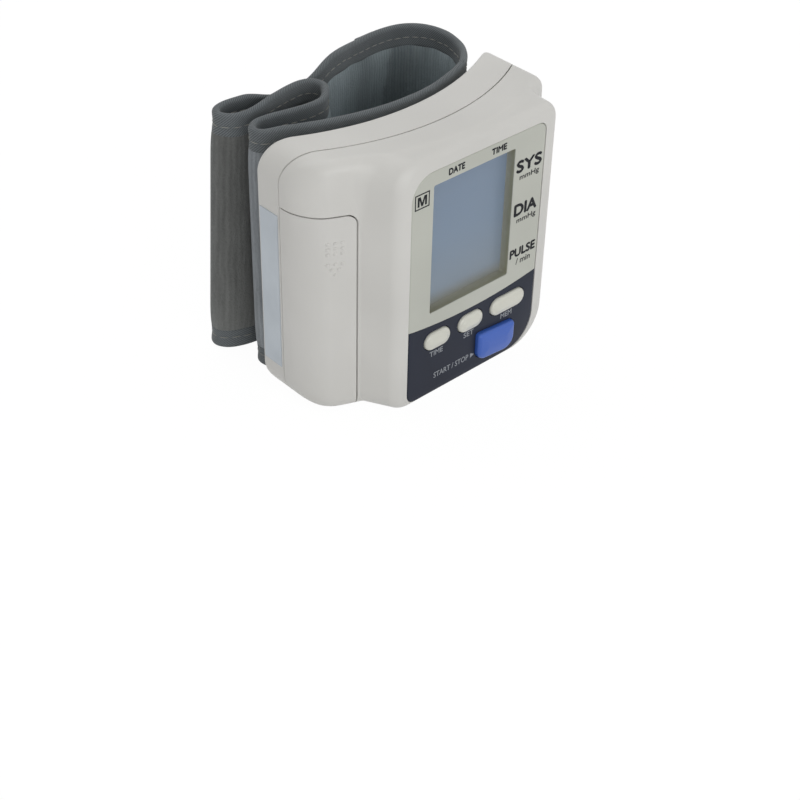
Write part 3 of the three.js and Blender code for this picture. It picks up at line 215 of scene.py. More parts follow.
# Lift of the top edge at shares of the way along the cuff
EDGE_LIFT = [
    (0.0, 0.8), (0.05, 0.7), (0.13, 1.2), (0.25, 1.2), (0.29, 0.1), (0.38, 0.1), (0.45, 1.2), (0.49, 1.2),
    (0.54, 0.2), (0.61, 0.2), (0.66, -2.4), (0.69, -2.4), (0.75, 0.7), (0.8, 0.0), (0.87, 0.4), (0.93, 0.0),
]

# Splay of the last fold's foot: its middle and width in shares of the way, its reach left and back
SPLAY = (0.565, 0.06, 2.4, 2.8)

# Fastened end: its span in shares of the way, its levels, and where it lies off the middle line
FLAP = (0.807, 0.902)
FLAP_LOW, FLAP_HIGH = 2.2, 66.9
FLAP_MIDDLE, FLAP_HALF = 2.5, 0.5


def root_step(a, b):
    """Square root of the way from each point to the next, the curve's step between them."""
    return np.sqrt(np.linalg.norm(b - a, axis=1))[:, None]


def cuff_curve():
    """Middle line of the cuff, and the way along it.

    It is a closed centripetal Catmull-Rom curve: a cubic between each two points, whose slopes at both
    come from the points before and after, with steps as the square roots of the distances.
    """
    here = np.array(CUFF_WAY, float)
    before, after, second = (np.roll(here, by, 0) for by in (1, -1, -2))
    d0, d1, d2 = root_step(before, here), root_step(here, after), root_step(after, second)
    leave = ((here - before) / d0 - (after - before) / (d0 + d1) + (after - here) / d1) * d1
    enter = ((after - here) / d1 - (second - here) / (d1 + d2) + (second - after) / d2) * d1
    t = np.linspace(0, 1, CURVE_PARTS + 1)[:-1][None, :, None]
    here, after, leave, enter = (v[:, None, :] for v in (here, after, leave, enter))
    curve = (2 * t**3 - 3 * t**2 + 1) * here + (t**3 - 2 * t**2 + t) * leave
    curve = (curve + (3 * t**2 - 2 * t**3) * after + (t**3 - t**2) * enter).reshape(-1, 2)
    loop = np.concatenate([curve, curve[:1]])
    way = np.concatenate([[0], np.cumsum(np.linalg.norm(np.diff(loop, axis=0), axis=1))])
    return loop, way


CUFF_LOOP, CUFF_TRAVEL = cuff_curve()
CUFF_LENGTH = CUFF_TRAVEL[-1]
CUFF_SHARES = (np.arange(CUFF_STEPS) / CUFF_STEPS)[None, :]


# Materials


def tone(red, green, blue):
    """Screen colour from 0 to 255 as the linear colour that a shader takes."""
    c = np.array([red, green, blue], float) / 255
    linear = np.where(c <= 0.04045, c / 12.92, ((c + 0.055) / 1.055) ** 2.4)
    return (*linear.tolist(), 1.0)


def grey(share):
    """Even grey that dims a colour to a share of itself."""
    return (share, share, share, 1.0)


class Finish:
    """A Principled material under construction, with short calls for its nodes."""

    def __init__(self, name, roughness=0.5, metallic=0.0, **sockets):
        self.material = bpy.data.materials.new(name)
        self.tree = empty_tree(self.material)
        self.shader = self.node("ShaderNodeBsdfPrincipled", Roughness=roughness, Metallic=metallic, **sockets)
        self.link(self.shader.outputs[0], self.node("ShaderNodeOutputMaterial").inputs["Surface"])
        self.height = None

    def node(self, kind, **values):
        return shader_node(self.tree, kind, **values)

    def link(self, value, socket):
        feed(self.tree, value, socket)

    def place(self, source="Object", scale=(1, 1, 1), turn=(0, 0, 0)):
        """Object coordinates or the piece's own UV, scaled and turned by a Mapping node."""
        coords = self.node("ShaderNodeTexCoord")
        mapping = self.node("ShaderNodeMapping", Scale=scale, Rotation=turn)
        self.link(coords.outputs[source], mapping.inputs["Vector"])
        return mapping.outputs["Vector"]

    def axes(self, source="Object"):
        """X, Y and Z of the object coordinates or of the piece's own UV, each on its own."""
        split = self.node("ShaderNodeSeparateXYZ")
        self.link(self.place(source), split.inputs[0])
        return split.outputs

    def noise(self, size, detail=3.0, rough=0.55, source="Object", stretch=(1, 1, 1)):
        """Noise whose blobs are about size millimetres across, from 0 to 1."""
        scale = tuple(s / (size * MM) for s in stretch)
        made = self.node("ShaderNodeTexNoise", Scale=1.0, Detail=detail, Roughness=rough)
        self.link(self.place(source, scale), made.inputs["Vector"])
        return made.outputs["Fac"]

    def ramp(self, value, *stops):
        """Colour ramp through (position, colour) stops."""
        made = self.node("ShaderNodeValToRGB")
        elements = made.color_ramp.elements
        while len(elements) < len(stops):
            elements.new(0.5)
        for element, (position, colour) in zip(elements, stops):
            element.position = position
            element.color = colour
        self.link(value, made.inputs["Fac"])
        return made.outputs["Color"]

    def math(self, operation, *values):
        return arithmetic(self.tree, operation, *values)

    def span(self, value, low, high):
        """A value from 0 to 1 spread between low and high."""
        return self.math("MULTIPLY_ADD", value, high - low, low)

    def mix(self, share, a, b, blend="MIX"):
        """Mix of two colours by a share."""
        made = self.node("ShaderNodeMix", data_type="RGBA", blend_type=blend)
        for value, i in ((share, 0), (a, 6), (b, 7)):
            self.link(value, made.inputs[i])
        return made.outputs[2]

    def colour(self, value):
        self.link(value, self.shader.inputs["Base Color"])

    def rough(self, value):
        self.link(value, self.shader.inputs["Roughness"])

    def bump(self, value, height):
        """Adds a bump of the given height in millimetres on top of the earlier ones."""
        made = self.node("ShaderNodeBump", Strength=1.0, Distance=height * MM)
        self.link(value, made.inputs["Height"])
        if self.height is not None:
            self.link(self.height, made.inputs["Normal"])
        self.height = made.outputs["Normal"]
        self.link(self.height, self.shader.inputs["Normal"])


def moulded(name, light, dark, roughness, grain=0.35, depth=0.006, **sockets):
    """Moulded plastic: slow drift between two close tones, a fine spark-eroded grain and uneven gloss."""
    f = Finish(name, roughness, **sockets)
    drift = f.noise(26, 2)
    f.colour(f.ramp(drift, (0.35, dark), (0.68, light)))
    f.rough(f.span(f.noise(7, 3), roughness - 0.05, roughness + 0.06))
    f.bump(f.noise(grain, 2), depth)
    return f.material


def brushed(name, light, dark, roughness):
    """Bare metal: fine upright drawn lines, darker in the lines."""
    f = Finish(name, roughness, 1.0)
    lines = f.noise(0.6, 3, stretch=(1, 1, 1 / 12))
    f.colour(f.ramp(lines, (0.3, dark), (0.7, light)))
    f.rough(f.span(lines, roughness - 0.06, roughness + 0.1))
    f.bump(lines, 0.004)
    return f.material


def liquid_crystal():
    """Unlit display glass: cool blue grey, khaki at the foot, with a faint wide cloud. The khaki foot is the
    glass's border with painted shade from the window's wall.
    """
    f = Finish("lcd", 0.3, Specular_IOR_Level=0.3)
    low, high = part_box("lcd_panel")
    rise = f.math("DIVIDE", f.math("SUBTRACT", f.axes()["Z"], low.z), high.z - low.z)
    # Khaki at the foot: the glass's own border, and painted shade from the window's wall
    khaki, foot = (0.03, tone(126, 126, 112)), (0.13, tone(124, 142, 160))
    middle, head = (0.5, tone(114, 139, 166)), (0.95, tone(108, 133, 162))
    wash = f.ramp(rise, khaki, foot, middle, head)
    f.colour(f.mix(f.span(f.noise(9.0, 2), 0.0, 0.05), wash, tone(170, 178, 186)))
    return f.material


def clear_pane():
    """Thin clear window: mostly see-through, with a sharp reflection and faint dust."""
    f = Finish("window", 0.06, IOR=1.49, Alpha=0.07)
    film = f.noise(14.0, 2)
    f.colour(f.ramp(film, (0.3, tone(230, 233, 235)), (0.7, tone(236, 238, 240))))
    f.rough(f.span(film, 0.05, 0.07))
    return f.material


def circuit_board():
    """Green solder mask with paler tracks under it."""
    f = Finish("board", 0.4)
    tracks = f.node("ShaderNodeTexVoronoi", feature="DISTANCE_TO_EDGE", Scale=1.0)
    f.link(f.place("Object", (520, 520, 520)), tracks.inputs["Vector"])
    f.colour(f.ramp(tracks.outputs["Distance"], (0.05, tone(58, 122, 74)), (0.12, tone(28, 84, 52))))
    f.bump(tracks.outputs["Distance"], 0.02)
    return f.material


def printed_sleeve():
    """Cell wrap: plain green, slightly mottled."""
    f = Finish("cell", 0.32)
    f.colour(f.ramp(f.noise(5, 2), (0.35, tone(51, 92, 71)), (0.7, tone(57, 100, 77))))
    f.bump(f.noise(0.5, 2), 0.006)
    return f.material


def label_foil():
    """Silvery blue-grey foil, faintly mottled, with its fine brushed lines."""
    f = Finish("label", 0.38, 0.25)
    lines = f.noise(0.5, 3, stretch=(1, 1, 0.06))
    f.colour(f.mix(f.noise(9, 2), tone(180, 188, 196), tone(200, 208, 215)))
    f.rough(f.span(lines, 0.32, 0.46))
    f.bump(lines, 0.004)
    return f.material


def plush(name, light, dark, rib_pitch, rib_share, patches, nap=0.5, above=1.0):
    """Brushed loop cloth: fine upright ribs, a short uneven nap and a sheen at grazing angles.

    patches are (share of the way along the cuff, tone) that make the colour lighter, darker or bluer; on the
    lining they are painted light and shade.
    Above the foot the colour is dimmed to the given share: painted floor-bounce light, lighter towards the
    foot.
    """
    sheen = {"Sheen_Weight": 0.35, "Sheen_Roughness": 0.5, "Sheen_Tint": light}
    f = Finish(name, 0.95, Specular_IOR_Level=0.15, **sheen)
    run = f.axes("UV")
    waver = f.noise(7, 2, source="UV")
    along = f.math("ADD", run["X"], f.math("MULTIPLY", waver, rib_pitch * MM * 1.1))
    wave = f.math("SINE", f.math("MULTIPLY", along, TURN / (rib_pitch * MM)))
    rib = f.math("MULTIPLY_ADD", wave, 0.5, 0.5)
    tuft = f.noise(nap, 4, 0.7, source="UV", stretch=(1, 0.6, 1))
    streak = f.noise(1.1, 3, source="UV", stretch=(1, 0.08, 1))
    height = f.math("ADD", f.math("MULTIPLY", rib, rib_share), f.math("MULTIPLY", tuft, 1 - rib_share))
    worn = f.mix(0.5, f.ramp(streak, (0.25, dark), (0.75, light)), f.ramp(height, (0.2, dark), (0.8, light)))
    cloudy = f.ramp(f.noise(16, 3, source="UV"), (0.3, grey(0.84)), (0.7, grey(1.0)))
    slant = f.math("MULTIPLY_ADD", run["Y"], -0.7, 0.7 * CUFF_HIGH * MM)
    travelled = f.math("ADD", f.math("DIVIDE", run["X"], CUFF_LENGTH * MM), slant)
    wander = f.math("MULTIPLY_ADD", f.noise(5, 2, source="UV"), 0.012, -0.006)
    # Tones along the cuff from the patches: on the lining, painted light and shade
    lay = f.ramp(f.math("ADD", travelled, wander), *patches)
    # Painted floor-bounce light: the colour is dimmed above the foot, times a random cloudiness
    rise = f.math("DIVIDE", run["Y"], CUFF_HIGH * MM)
    cloud_and_painted_bounce = f.mix(1.0, cloudy, f.ramp(rise, (0.05, grey(1.0)), (0.38, grey(above))), "MULTIPLY")
    f.colour(f.mix(1.0, f.mix(1.0, worn, cloud_and_painted_bounce, "MULTIPLY"), lay, "MULTIPLY"))
    f.rough(f.span(tuft, 0.86, 1.0))
    f.bump(height, 0.13)
    f.bump(tuft, 0.2)
    return f.material


def twill_tape():
    """Woven binding tape: close diagonal ribs with a fine cross thread."""
    f = Finish("binding", 0.8, Sheen_Weight=0.2, Sheen_Roughness=0.4, Specular_IOR_Level=0.2)
    run = f.axes("UV")
    slant = f.math("ADD", run["X"], f.math("MULTIPLY", run["Y"], 0.9))
    ribs = f.math("SINE", f.math("MULTIPLY", slant, TURN / (0.62 * MM)))
    cross = f.math("SINE", f.math("MULTIPLY", run["X"], TURN / (0.31 * MM)))
    weave = f.math("ADD", f.math("MULTIPLY_ADD", ribs, 0.36, 0.5), f.math("MULTIPLY", cross, 0.12))
    tint = f.ramp(weave, (0.2, tone(90, 96, 99)), (0.8, tone(129, 134, 137)))
    cloudy = f.ramp(f.noise(7, 2, source="UV"), (0.3, grey(0.88)), (0.7, grey(1.0)))
    f.colour(f.mix(1.0, tint, cloudy, "MULTIPLY"))
    f.rough(f.span(weave, 0.72, 0.86))
    f.bump(weave, 0.09)
    return f.material


def sewing_thread():
    """Off-white twisted thread."""
    f = Finish("thread", 0.6, Sheen_Weight=0.2)
    twist = f.node("ShaderNodeTexWave", Scale=1.0, Distortion=0.4)
    f.link(f.place("Object", (2600, 2600, 2600), (0, 0, 0.6)), twist.inputs["Vector"])
    f.colour(f.ramp(twist.outputs["Fac"], (0.2, tone(140, 140, 134)), (0.8, tone(178, 177, 170))))
    f.bump(twist.outputs["Fac"], 0.03)
    return f.material


def printing(name, ink):
    """Screen-printed ink: matt and slightly uneven."""
    f = Finish(name, 0.5, Specular_IOR_Level=0.15)
    f.colour(f.mix(f.span(f.noise(0.4, 2), 0.0, 0.06), ink, tone(128, 130, 136)))
    return f.material


SPECULAR = "Specular_IOR_Level"
SMOOTH = {"grain": 0.5, "depth": 0.002}

# Tones at shares of the way along the cuff: the outer cloth lighter and bluer, then darker and browner
OUTER_TONE_BANDS = ((0.32, (0.94, 0.96, 1.0, 1)), (0.37, (0.52, 0.505, 0.475, 1)))
# On the lining the tones are painted light and shade of its folds, darkest where shade falls inside the loop
LINING_PAINTED_SHADING = tuple((share, grey(dim)) for share, dim in (
    (0.0, 0.7), (0.7, 0.9), (0.76, 1.0), (0.805, 0.62), (0.843, 0.8),
    (0.849, 0.5), (0.872, 0.55), (0.895, 0.8), (0.915, 1.0), (0.96, 0.7),
))

# Moulded plastics: name, light tone, dark tone, roughness, then grain size, grain depth and specular
# level where they aren't the usual ones
MOULDED = {
    "case": ("case_plastic", (224, 223, 219), (218, 217, 213), 0.42, {"depth": 0.004}),
    "cover": ("cover_plastic", (222, 221, 218), (217, 216, 212), 0.42, {"depth": 0.004}),
    "bezel": ("bezel_plastic", (200, 202, 193), (194, 196, 187), 0.3, {**SMOOTH, SPECULAR: 0.35}),
    "navy_panel": ("navy_plastic", (36, 42, 58), (31, 36, 51), 0.34, {**SMOOTH, SPECULAR: 0.16}),
    "key_ivory": ("ivory_key", (224, 224, 213), (218, 218, 207), 0.3, {**SMOOTH, SPECULAR: 0.8}),
    "key_blue": ("blue_key", (64, 106, 200), (56, 96, 190), 0.34, SMOOTH),
    # Window's walls: the case's colour darkened to khaki, painted shade of the recess
    "well": ("window_well", (158, 157, 136), (148, 147, 127), 0.5, SMOOTH),
    "white_plastic": ("inner_plastic", (214, 212, 200), (202, 200, 186), 0.5, {}),
    "black_plastic": ("black_plastic", (40, 41, 43), (30, 31, 33), 0.5, {}),
    "rubber": ("rubber", (48, 48, 50), (38, 38, 40), 0.8, {"depth": 0.01}),
    "tube": ("silicone_tube", (206, 208, 202), (190, 193, 188), 0.45, {}),
    "film": ("bladder_film", (160, 165, 168), (146, 150, 154), 0.6, {}),
    "hook": ("hook_tape", (52, 53, 55), (34, 35, 37), 0.8, {"grain": 0.8, "depth": 0.15}),
}
MATERIALS = {
    "window": clear_pane(),
    "lcd": liquid_crystal(),
    "board": circuit_board(),
    "steel": brushed("steel", tone(190, 192, 194), tone(150, 152, 156), 0.3),
    "brass": brushed("brass", tone(206, 176, 110), tone(170, 140, 80), 0.32),
    "cell": printed_sleeve(),
    "label": label_foil(),
    # The outer plush's last number dims it above the foot: painted floor-bounce light
    "plush": plush("outer_plush", tone(206, 211, 214), tone(144, 148, 150), 1.1, 0.22, OUTER_TONE_BANDS, 0.42, 0.74),
    "lining": plush("lining_cloth", tone(196, 209, 214), tone(152, 164, 169), 0.9, 0.3, LINING_PAINTED_SHADING, 0.4),
    "tape": twill_tape(),
    "thread": sewing_thread(),
    "ink_dark": printing("dark_ink", tone(14, 15, 22)),
    "ink_pale": printing("pale_ink", tone(160, 164, 170)),
}
for plastic, (name, light, dark, roughness, more) in MOULDED.items():
    MATERIALS[plastic] = moulded(name, tone(*light), tone(*dark), roughness, **more)


def dress_packed_nodes():
    """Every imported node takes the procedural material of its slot."""
    for entry in frame["record"]["subparts"]:
        slots = nodes[entry["node"]].data.materials
        if len(slots) == 0:
            slots.append(None)
        for i in range(len(slots)):
            slots[i] = MATERIALS[entry["material_slot"]]


# Mesh helpers

LEAST_RADIUS = 0.05


def loose(name, points, faces):
    """Bare mesh object from points in millimetres: a cutter, or the start of a piece."""
    mesh = bpy.data.meshes.new(name)
    mesh.from_pydata(row(points).tolist(), [], faces if isinstance(faces, list) else faces.tolist())
    mesh.update()
    return in_scene(name, mesh)


def finish(made, slot, body="monitor", node=None, smooth=True, sharp=None):
    """Material, shading, body and, if it has one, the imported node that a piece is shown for."""
    mesh = made.data
    mesh.materials.clear()
    mesh.materials.append(MATERIALS[slot])
    mesh.polygons.foreach_set("use_smooth", np.full(len(mesh.polygons), smooth))
    if sharp is not None:
        mesh.set_sharp_from_angle(angle=math.radians(sharp))
    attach(made, body)
    if node is not None:
        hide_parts(node)


def flat_piece(name, points, faces, slot, body="monitor", node=None, uv=None, **looks):
    """Finished piece from points in millimetres, with its own UV where one is given."""
    made = loose(name, points, faces)
    if uv is not None:
        layer = made.data.uv_layers.new(name="UVMap")
        corner = np.zeros(len(made.data.loops), int)
        made.data.loops.foreach_get("vertex_index", corner)
        layer.data.foreach_set("uv", np.asarray(uv, np.float32)[corner].ravel())
    finish(made, slot, body, node, **looks)
    return made


def piece(*shape, **looks):
    """Finished closed piece, with its faces turned outwards."""
    return outward(flat_piece(*shape, **looks))


def grid_quads(rows, columns, wrap_rows=False, wrap_columns=False):
    """Quads that join each point (r, c) of a grid to its neighbours. Both ways may close round."""
    r = np.arange(rows if wrap_rows else rows - 1)[:, None]
    c = np.arange(columns if wrap_columns else columns - 1)[None, :]
    r1, c1 = (r + 1) % rows, (c + 1) % columns
    corners = [r * columns + c, r * columns + c1, r1 * columns + c1, r1 * columns + c]
    return np.stack(corners, -1).reshape(-1, 4)


def capped(rings):
    """Faces of stacked rings, shape (rings, around, 3), closed by one flat face at each end."""
    count, around = rings.shape[:2]
    faces = grid_quads(count, around, wrap_columns=True).tolist()
    faces.append(list(range(around))[::-1])
    faces.append([(count - 1) * around + i for i in range(around)])
    return rings.reshape(-1, 3), faces


def spindles(count, steps, sides, first=0):
    """Faces of many closed bars one after the other, each of steps rings of sides points."""
    base = first + np.arange(count)[:, None, None] * steps * sides
    flanks = (base + grid_quads(steps, sides, wrap_columns=True)).reshape(-1, 4).tolist()
    ring = np.arange(sides)
    ends = np.concatenate([base[:, 0] + ring[::-1], base[:, 0] + (steps - 1) * sides + ring])
    return flanks + ends.tolist()


def outward(made):
    """Turns a closed mesh's faces outwards."""
    shape = bmesh.new()
    shape.from_mesh(made.data)
    bmesh.ops.recalc_face_normals(shape, faces=shape.faces)
    shape.to_mesh(made.data)
    shape.free()
    return made


def carve(made, cutters, operation="DIFFERENCE"):
    """Cuts closed solids from a closed solid, or keeps what it shares with them. The cutters go."""
    for cutter in cutters:
        outward(cutter)
        step = made.modifiers.new("cut", "BOOLEAN")
        step.operation = operation
        step.solver = "MANIFOLD"
        step.object = cutter
    graph = bpy.context.evaluated_depsgraph_get()
    mesh = bpy.data.meshes.new_from_object(made.evaluated_get(graph))
    made.modifiers.clear()
    made.data = mesh
    for cutter in cutters:
        bpy.data.objects.remove(cutter)


def evenly_round(count):
    """Angles of even steps round."""
    return np.linspace(0, TURN, count + 1)[:-1]


def arc_points(cu, cv, radius, start, end, steps):
    """Points of an arc from start to end, in degrees."""
    a = np.radians(np.linspace(start, end, steps + 1))
    return np.stack([cu + radius * np.cos(a), cv + radius * np.sin(a)], 1)


def rounded_outline(left, right, bottom, top, corners, inset=0.0, steps=8):
    """Rectangle, inset evenly, with four radii: top left, top right, bottom right, bottom left."""
    tl, tr, br, bl = (max(r - inset, LEAST_RADIUS) for r in corners)
    left, right, bottom, top = left + inset, right - inset, bottom + inset, top - inset
    return np.concatenate([
        arc_points(right - br, bottom + br, br, -90, 0, steps),
        arc_points(right - tr, top - tr, tr, 0, 90, steps),
        arc_points(left + tl, top - tl, tl, 90, 180, steps),
        arc_points(left + bl, bottom + bl, bl, 180, 270, steps),
    ])


def lay(outline, depth):
    """An outline of (x, z) at a depth."""
    return np.stack([outline[:, 0], np.full(len(outline), depth), outline[:, 1]], 1)


def prism(name, outline, near, far):
    """Straight solid on an outline of (x, z) between two depths."""
    return loose(name, *capped(np.stack([lay(outline, near), lay(outline, far)])))


# Case

# Outline of the case from the front: left, right, bottom, top, and its corners' radii
CASE = (-HALF, HALF, 0, HEIGHT)
CASE_CORNERS = (8, 3, 3, 8)
WALL = 1.8
SIDE_BLEND = 1.2

# Arcs seen from above: across, deep and radius of the parting line and of the hollow for the wrist
PARTING = (1.5, 77.8, 67.0)
BACK = (0.5, 88.6, 68.0)
SEAM = 0.18

# Wings: radius of the left one's face, what the right one's has more, and the stretch between them.
# Rounding of their edge, and what the left and the right side have more or less.
WING_RADIUS, WING_MORE, WING_STRETCH = 73.8, 2.2, (-20, 22)
WING_EDGE, WING_EDGE_LEFT, WING_EDGE_RIGHT = 3, 2.6, -1.4
REAR_EDGE, REAR_EDGE_LEFT, REAR_EDGE_RIGHT = 0.9, 0.7, 3.0

# Block that carries the display: its sides, corners and front edge. The left side leans out to a depth,
# and the top falls towards the front.
BLOCK_LEFT, BLOCK_RIGHT, BLOCK_CORNERS, BLOCK_EDGE = -19.8, 31.4, (7, 4.5, 11, 4.5), 2.2
BLOCK_LEAN, BLOCK_LEAN_DEPTH = 0.55, 8.8
TOP_FALL, TOP_FALL_DEPTH = 0.6, 10.8

# Fillet between block and wing: at the foot, what the head has more, the levels between, and the right
FILLET, FILLET_MORE, FILLET_LEVELS = 0.35, 1.4, (50, 67)
FILLET_RIGHT, FILLET_STRETCH = 1.0, (0, 24)
FRONT_BACK, REAR_FRONT = 34, -12

# Front plate and window: left, right, bottom, top
PLATE = (-16.4, 27.1, 1.2, 65.4)
PLATE_CORNERS = (6.4, 2.6, 9.0, 3.0)
PLATE_DEPTH, PLATE_EDGE = 1.2, 0.35
WINDOW = (-9.7, 16.8, 25.9, 61.6)
WINDOW_CORNERS = (0.5,) * 4

# Cutters: how far they stand out, where they end at the back, and how far they pass the case's ends.
# Room round the plate and the window, and the depths between which the shell is opened.
OVERRUN, DEEP, PAST_ENDS = 3, 40, 5
PLATE_ROOM, WINDOW_ROOM, OPENED = 0.12, 1.8, (1, 8)

# Battery cover: right side, top, corner and the gap round it. Dots: middle of the top row, pitch across and
# down, radius, height and how deep they root.
COVER_RIGHT, COVER_TOP, COVER_CORNER, COVER_GAP = -25.2, 56.0, 2.4, 0.36
DOT_MIDDLE = (-30.0, 49.1)
DOT_PITCH = (1.6, 1.42)
DOT_RADIUS, DOT_HEIGHT, DOT_ROOT = 0.45, 0.32, -0.3

# Case screws and the air nipple, by across and up, with their radii, how far a screw's ledge lies behind
# the parting line, and where the nipple's hole starts
SCREW_PLACES = [(-25.5, 62.7), (32.0, 62.7), (32.0, 7.5), (-7.4, 6.4)]
SCREW_WELL, SCREW_BORE, SCREW_BOSS, SCREW_LEDGE = 2.3, 1.4, 3.3, 2.45
NIPPLE_PLACE, NIPPLE_HOLE, NIPPLE_NEAR = (10.5, 40.5), 1.9, 10

# Battery cells: across, deep, level of the flat end and the way that the button points.
# Springs: across, deep, level of the wide and of the narrow end.
CELLS = [(-29.15, 19.0, 9.8, 1), (-17.75, 14.8, 50.2, -1)]
SPRINGS = [(-29.15, 19.0, 5.4, 9.5), (-17.75, 14.8, 54.6, 50.5)]
SPRING_TURNS, SPRING_WIRE, SPRING_WIDE, SPRING_NARROWS = 6.0, 0.33, 3.2, 1.4

# Rings of points along the wire, the share of it in each closed turn, and the share of the climb that is
# steady, where the rest eases in and out
SPRING_RINGS, CLOSED_SHARE, STEADY_SHARE = 420, 0.1, 0.6

# Profiles of a cell as radius and level: rims of the wrap and of the can, and the can's button
CELL_SIDES, CELL_BODY = 64, 43.6
WRAP_EDGE = [(3.9, 0.1), (4.6, 0.0), (5.0, 0.07), (5.19, 0.28), (5.25, 0.7)]
WRAP_INSIDE = [(4.9, 0.5), (3.9, 0.25)]
CAN_EDGE = [(3.6, 0.14), (3.88, 0.2), (3.88, 0.3), (4.7, 0.6)]
CAN_BUTTON = [(2.1, -0.1), (1.93, 0.0), (1.9, 0.7), (1.78, 0.85), (1.5, 0.9)]

# Rays that find the skin: their reach and the reach near the ends, the steps of the first round, how far
# inside the edge they turn, and how often the span is halved. The upright axes that they leave, and fewer
# steps for the hollows.
RAY_REACH, END_REACH, ROUND_STEPS, END_TURN, HALVINGS = 90, 40, 4000, 9.0, 30
FRONT_AXIS, REAR_AXIS = (0, 20), (0, 5)
COARSE = {"columns": 150, "levels": 20, "bends": 10, "rings": 5}


def meet_round(a, b, radius):
    """Distance to what two solids share, with the edge between them rounded."""
    rounded = np.hypot(np.maximum(a + radius, 0), np.maximum(b + radius, 0))
    return np.minimum(-radius, np.maximum(a, b)) + rounded


def join_round(a, b, radius):
    """Distance to two solids together, with the corner between them filled in a round."""
    rounded = np.hypot(np.maximum(radius - a, 0), np.maximum(radius - b, 0))
    return np.maximum(radius, np.minimum(a, b)) - rounded


def ease(value, low, high):
    """0 below low, 1 above high, smooth between."""
    t = np.clip((value - low) / (high - low), 0, 1)
    return t * t * (3 - 2 * t)


def rectangle_distance(u, v, left, right, bottom, top, corners):
    """Distance to a rectangle with its own radius at each corner, and a share that says how far to the side.

    The share is 1 where the nearest side is an upright one, 0 where it is a level one, and goes over
    smoothly at the corners, within a few times the blend's length.
    """
    du, dv = u - (left + right) / 2, v - (bottom + top) / 2
    tl, tr, br, bl = corners
    r = np.where(dv > 0, np.where(du < 0, tl, tr), np.where(du < 0, bl, br))
    qu = np.abs(du) - (right - left) / 2 + r
    qv = np.abs(dv) - (top - bottom) / 2 + r
    distance = np.minimum(np.maximum(qu, qv), 0) + np.hypot(np.maximum(qu, 0), np.maximum(qv, 0)) - r
    sideways = 1 / (1 + np.exp(np.clip((qv - qu) / SIDE_BLEND, -30, 30)))
    return distance, sideways


def front_solid(p):
    """Distance to the front half: two curved wings, and between them the block that carries the display."""
    x, y, z = p[..., 0], p[..., 1], p[..., 2]
    outline, sideways = rectangle_distance(x, z, *CASE, CASE_CORNERS)
    face = np.hypot(x - PARTING[0], y - PARTING[1]) - (WING_RADIUS + WING_MORE * ease(x, *WING_STRETCH))
    wing = meet_round(face, outline, WING_EDGE + sideways * np.where(x < 0, WING_EDGE_LEFT, WING_EDGE_RIGHT))
    left = BLOCK_LEFT - BLOCK_LEAN * np.clip(y, 0, BLOCK_LEAN_DEPTH)
    top = HEIGHT - TOP_FALL * np.clip(1 - y / TOP_FALL_DEPTH, 0, 1)
    side, _ = rectangle_distance(x, z, left, BLOCK_RIGHT, 0, top, BLOCK_CORNERS)
    block = meet_round(-y, side, BLOCK_EDGE)
    fillet = FILLET + FILLET_MORE * ease(z, *FILLET_LEVELS)
    whole = join_round(wing, block, fillet + (FILLET_RIGHT - fillet) * ease(x, *FILLET_STRETCH))
    return np.maximum(np.maximum(whole, outline), y - FRONT_BACK)


def rear_solid(p):
    """Distance to the rear half: a bar behind the front one whose back is hollowed to a wrist's curve."""
    x, y, z = p[..., 0], p[..., 1], p[..., 2]
    outline, sideways = rectangle_distance(x, z, *CASE, CASE_CORNERS)
    back = BACK[2] - np.hypot(x - BACK[0], y - BACK[1])
    edge = REAR_EDGE + sideways * np.where(x < 0, REAR_EDGE_LEFT, REAR_EDGE_RIGHT)
    return np.maximum(meet_round(back, outline, edge), REAR_FRONT - y)


def shoot(solid, start, direction, reach, inset):
    """Distance along each ray from inside a solid to its skin, by halving the span again and again."""
    low, high = np.zeros(start.shape[:-1]), np.full(start.shape[:-1], float(reach))
    for _ in range(HALVINGS):
        middle = (low + high) / 2
        inside = solid(start + direction * middle[..., None]) + inset < 0
        low, high = np.where(inside, middle, low), np.where(inside, high, middle)
    return low


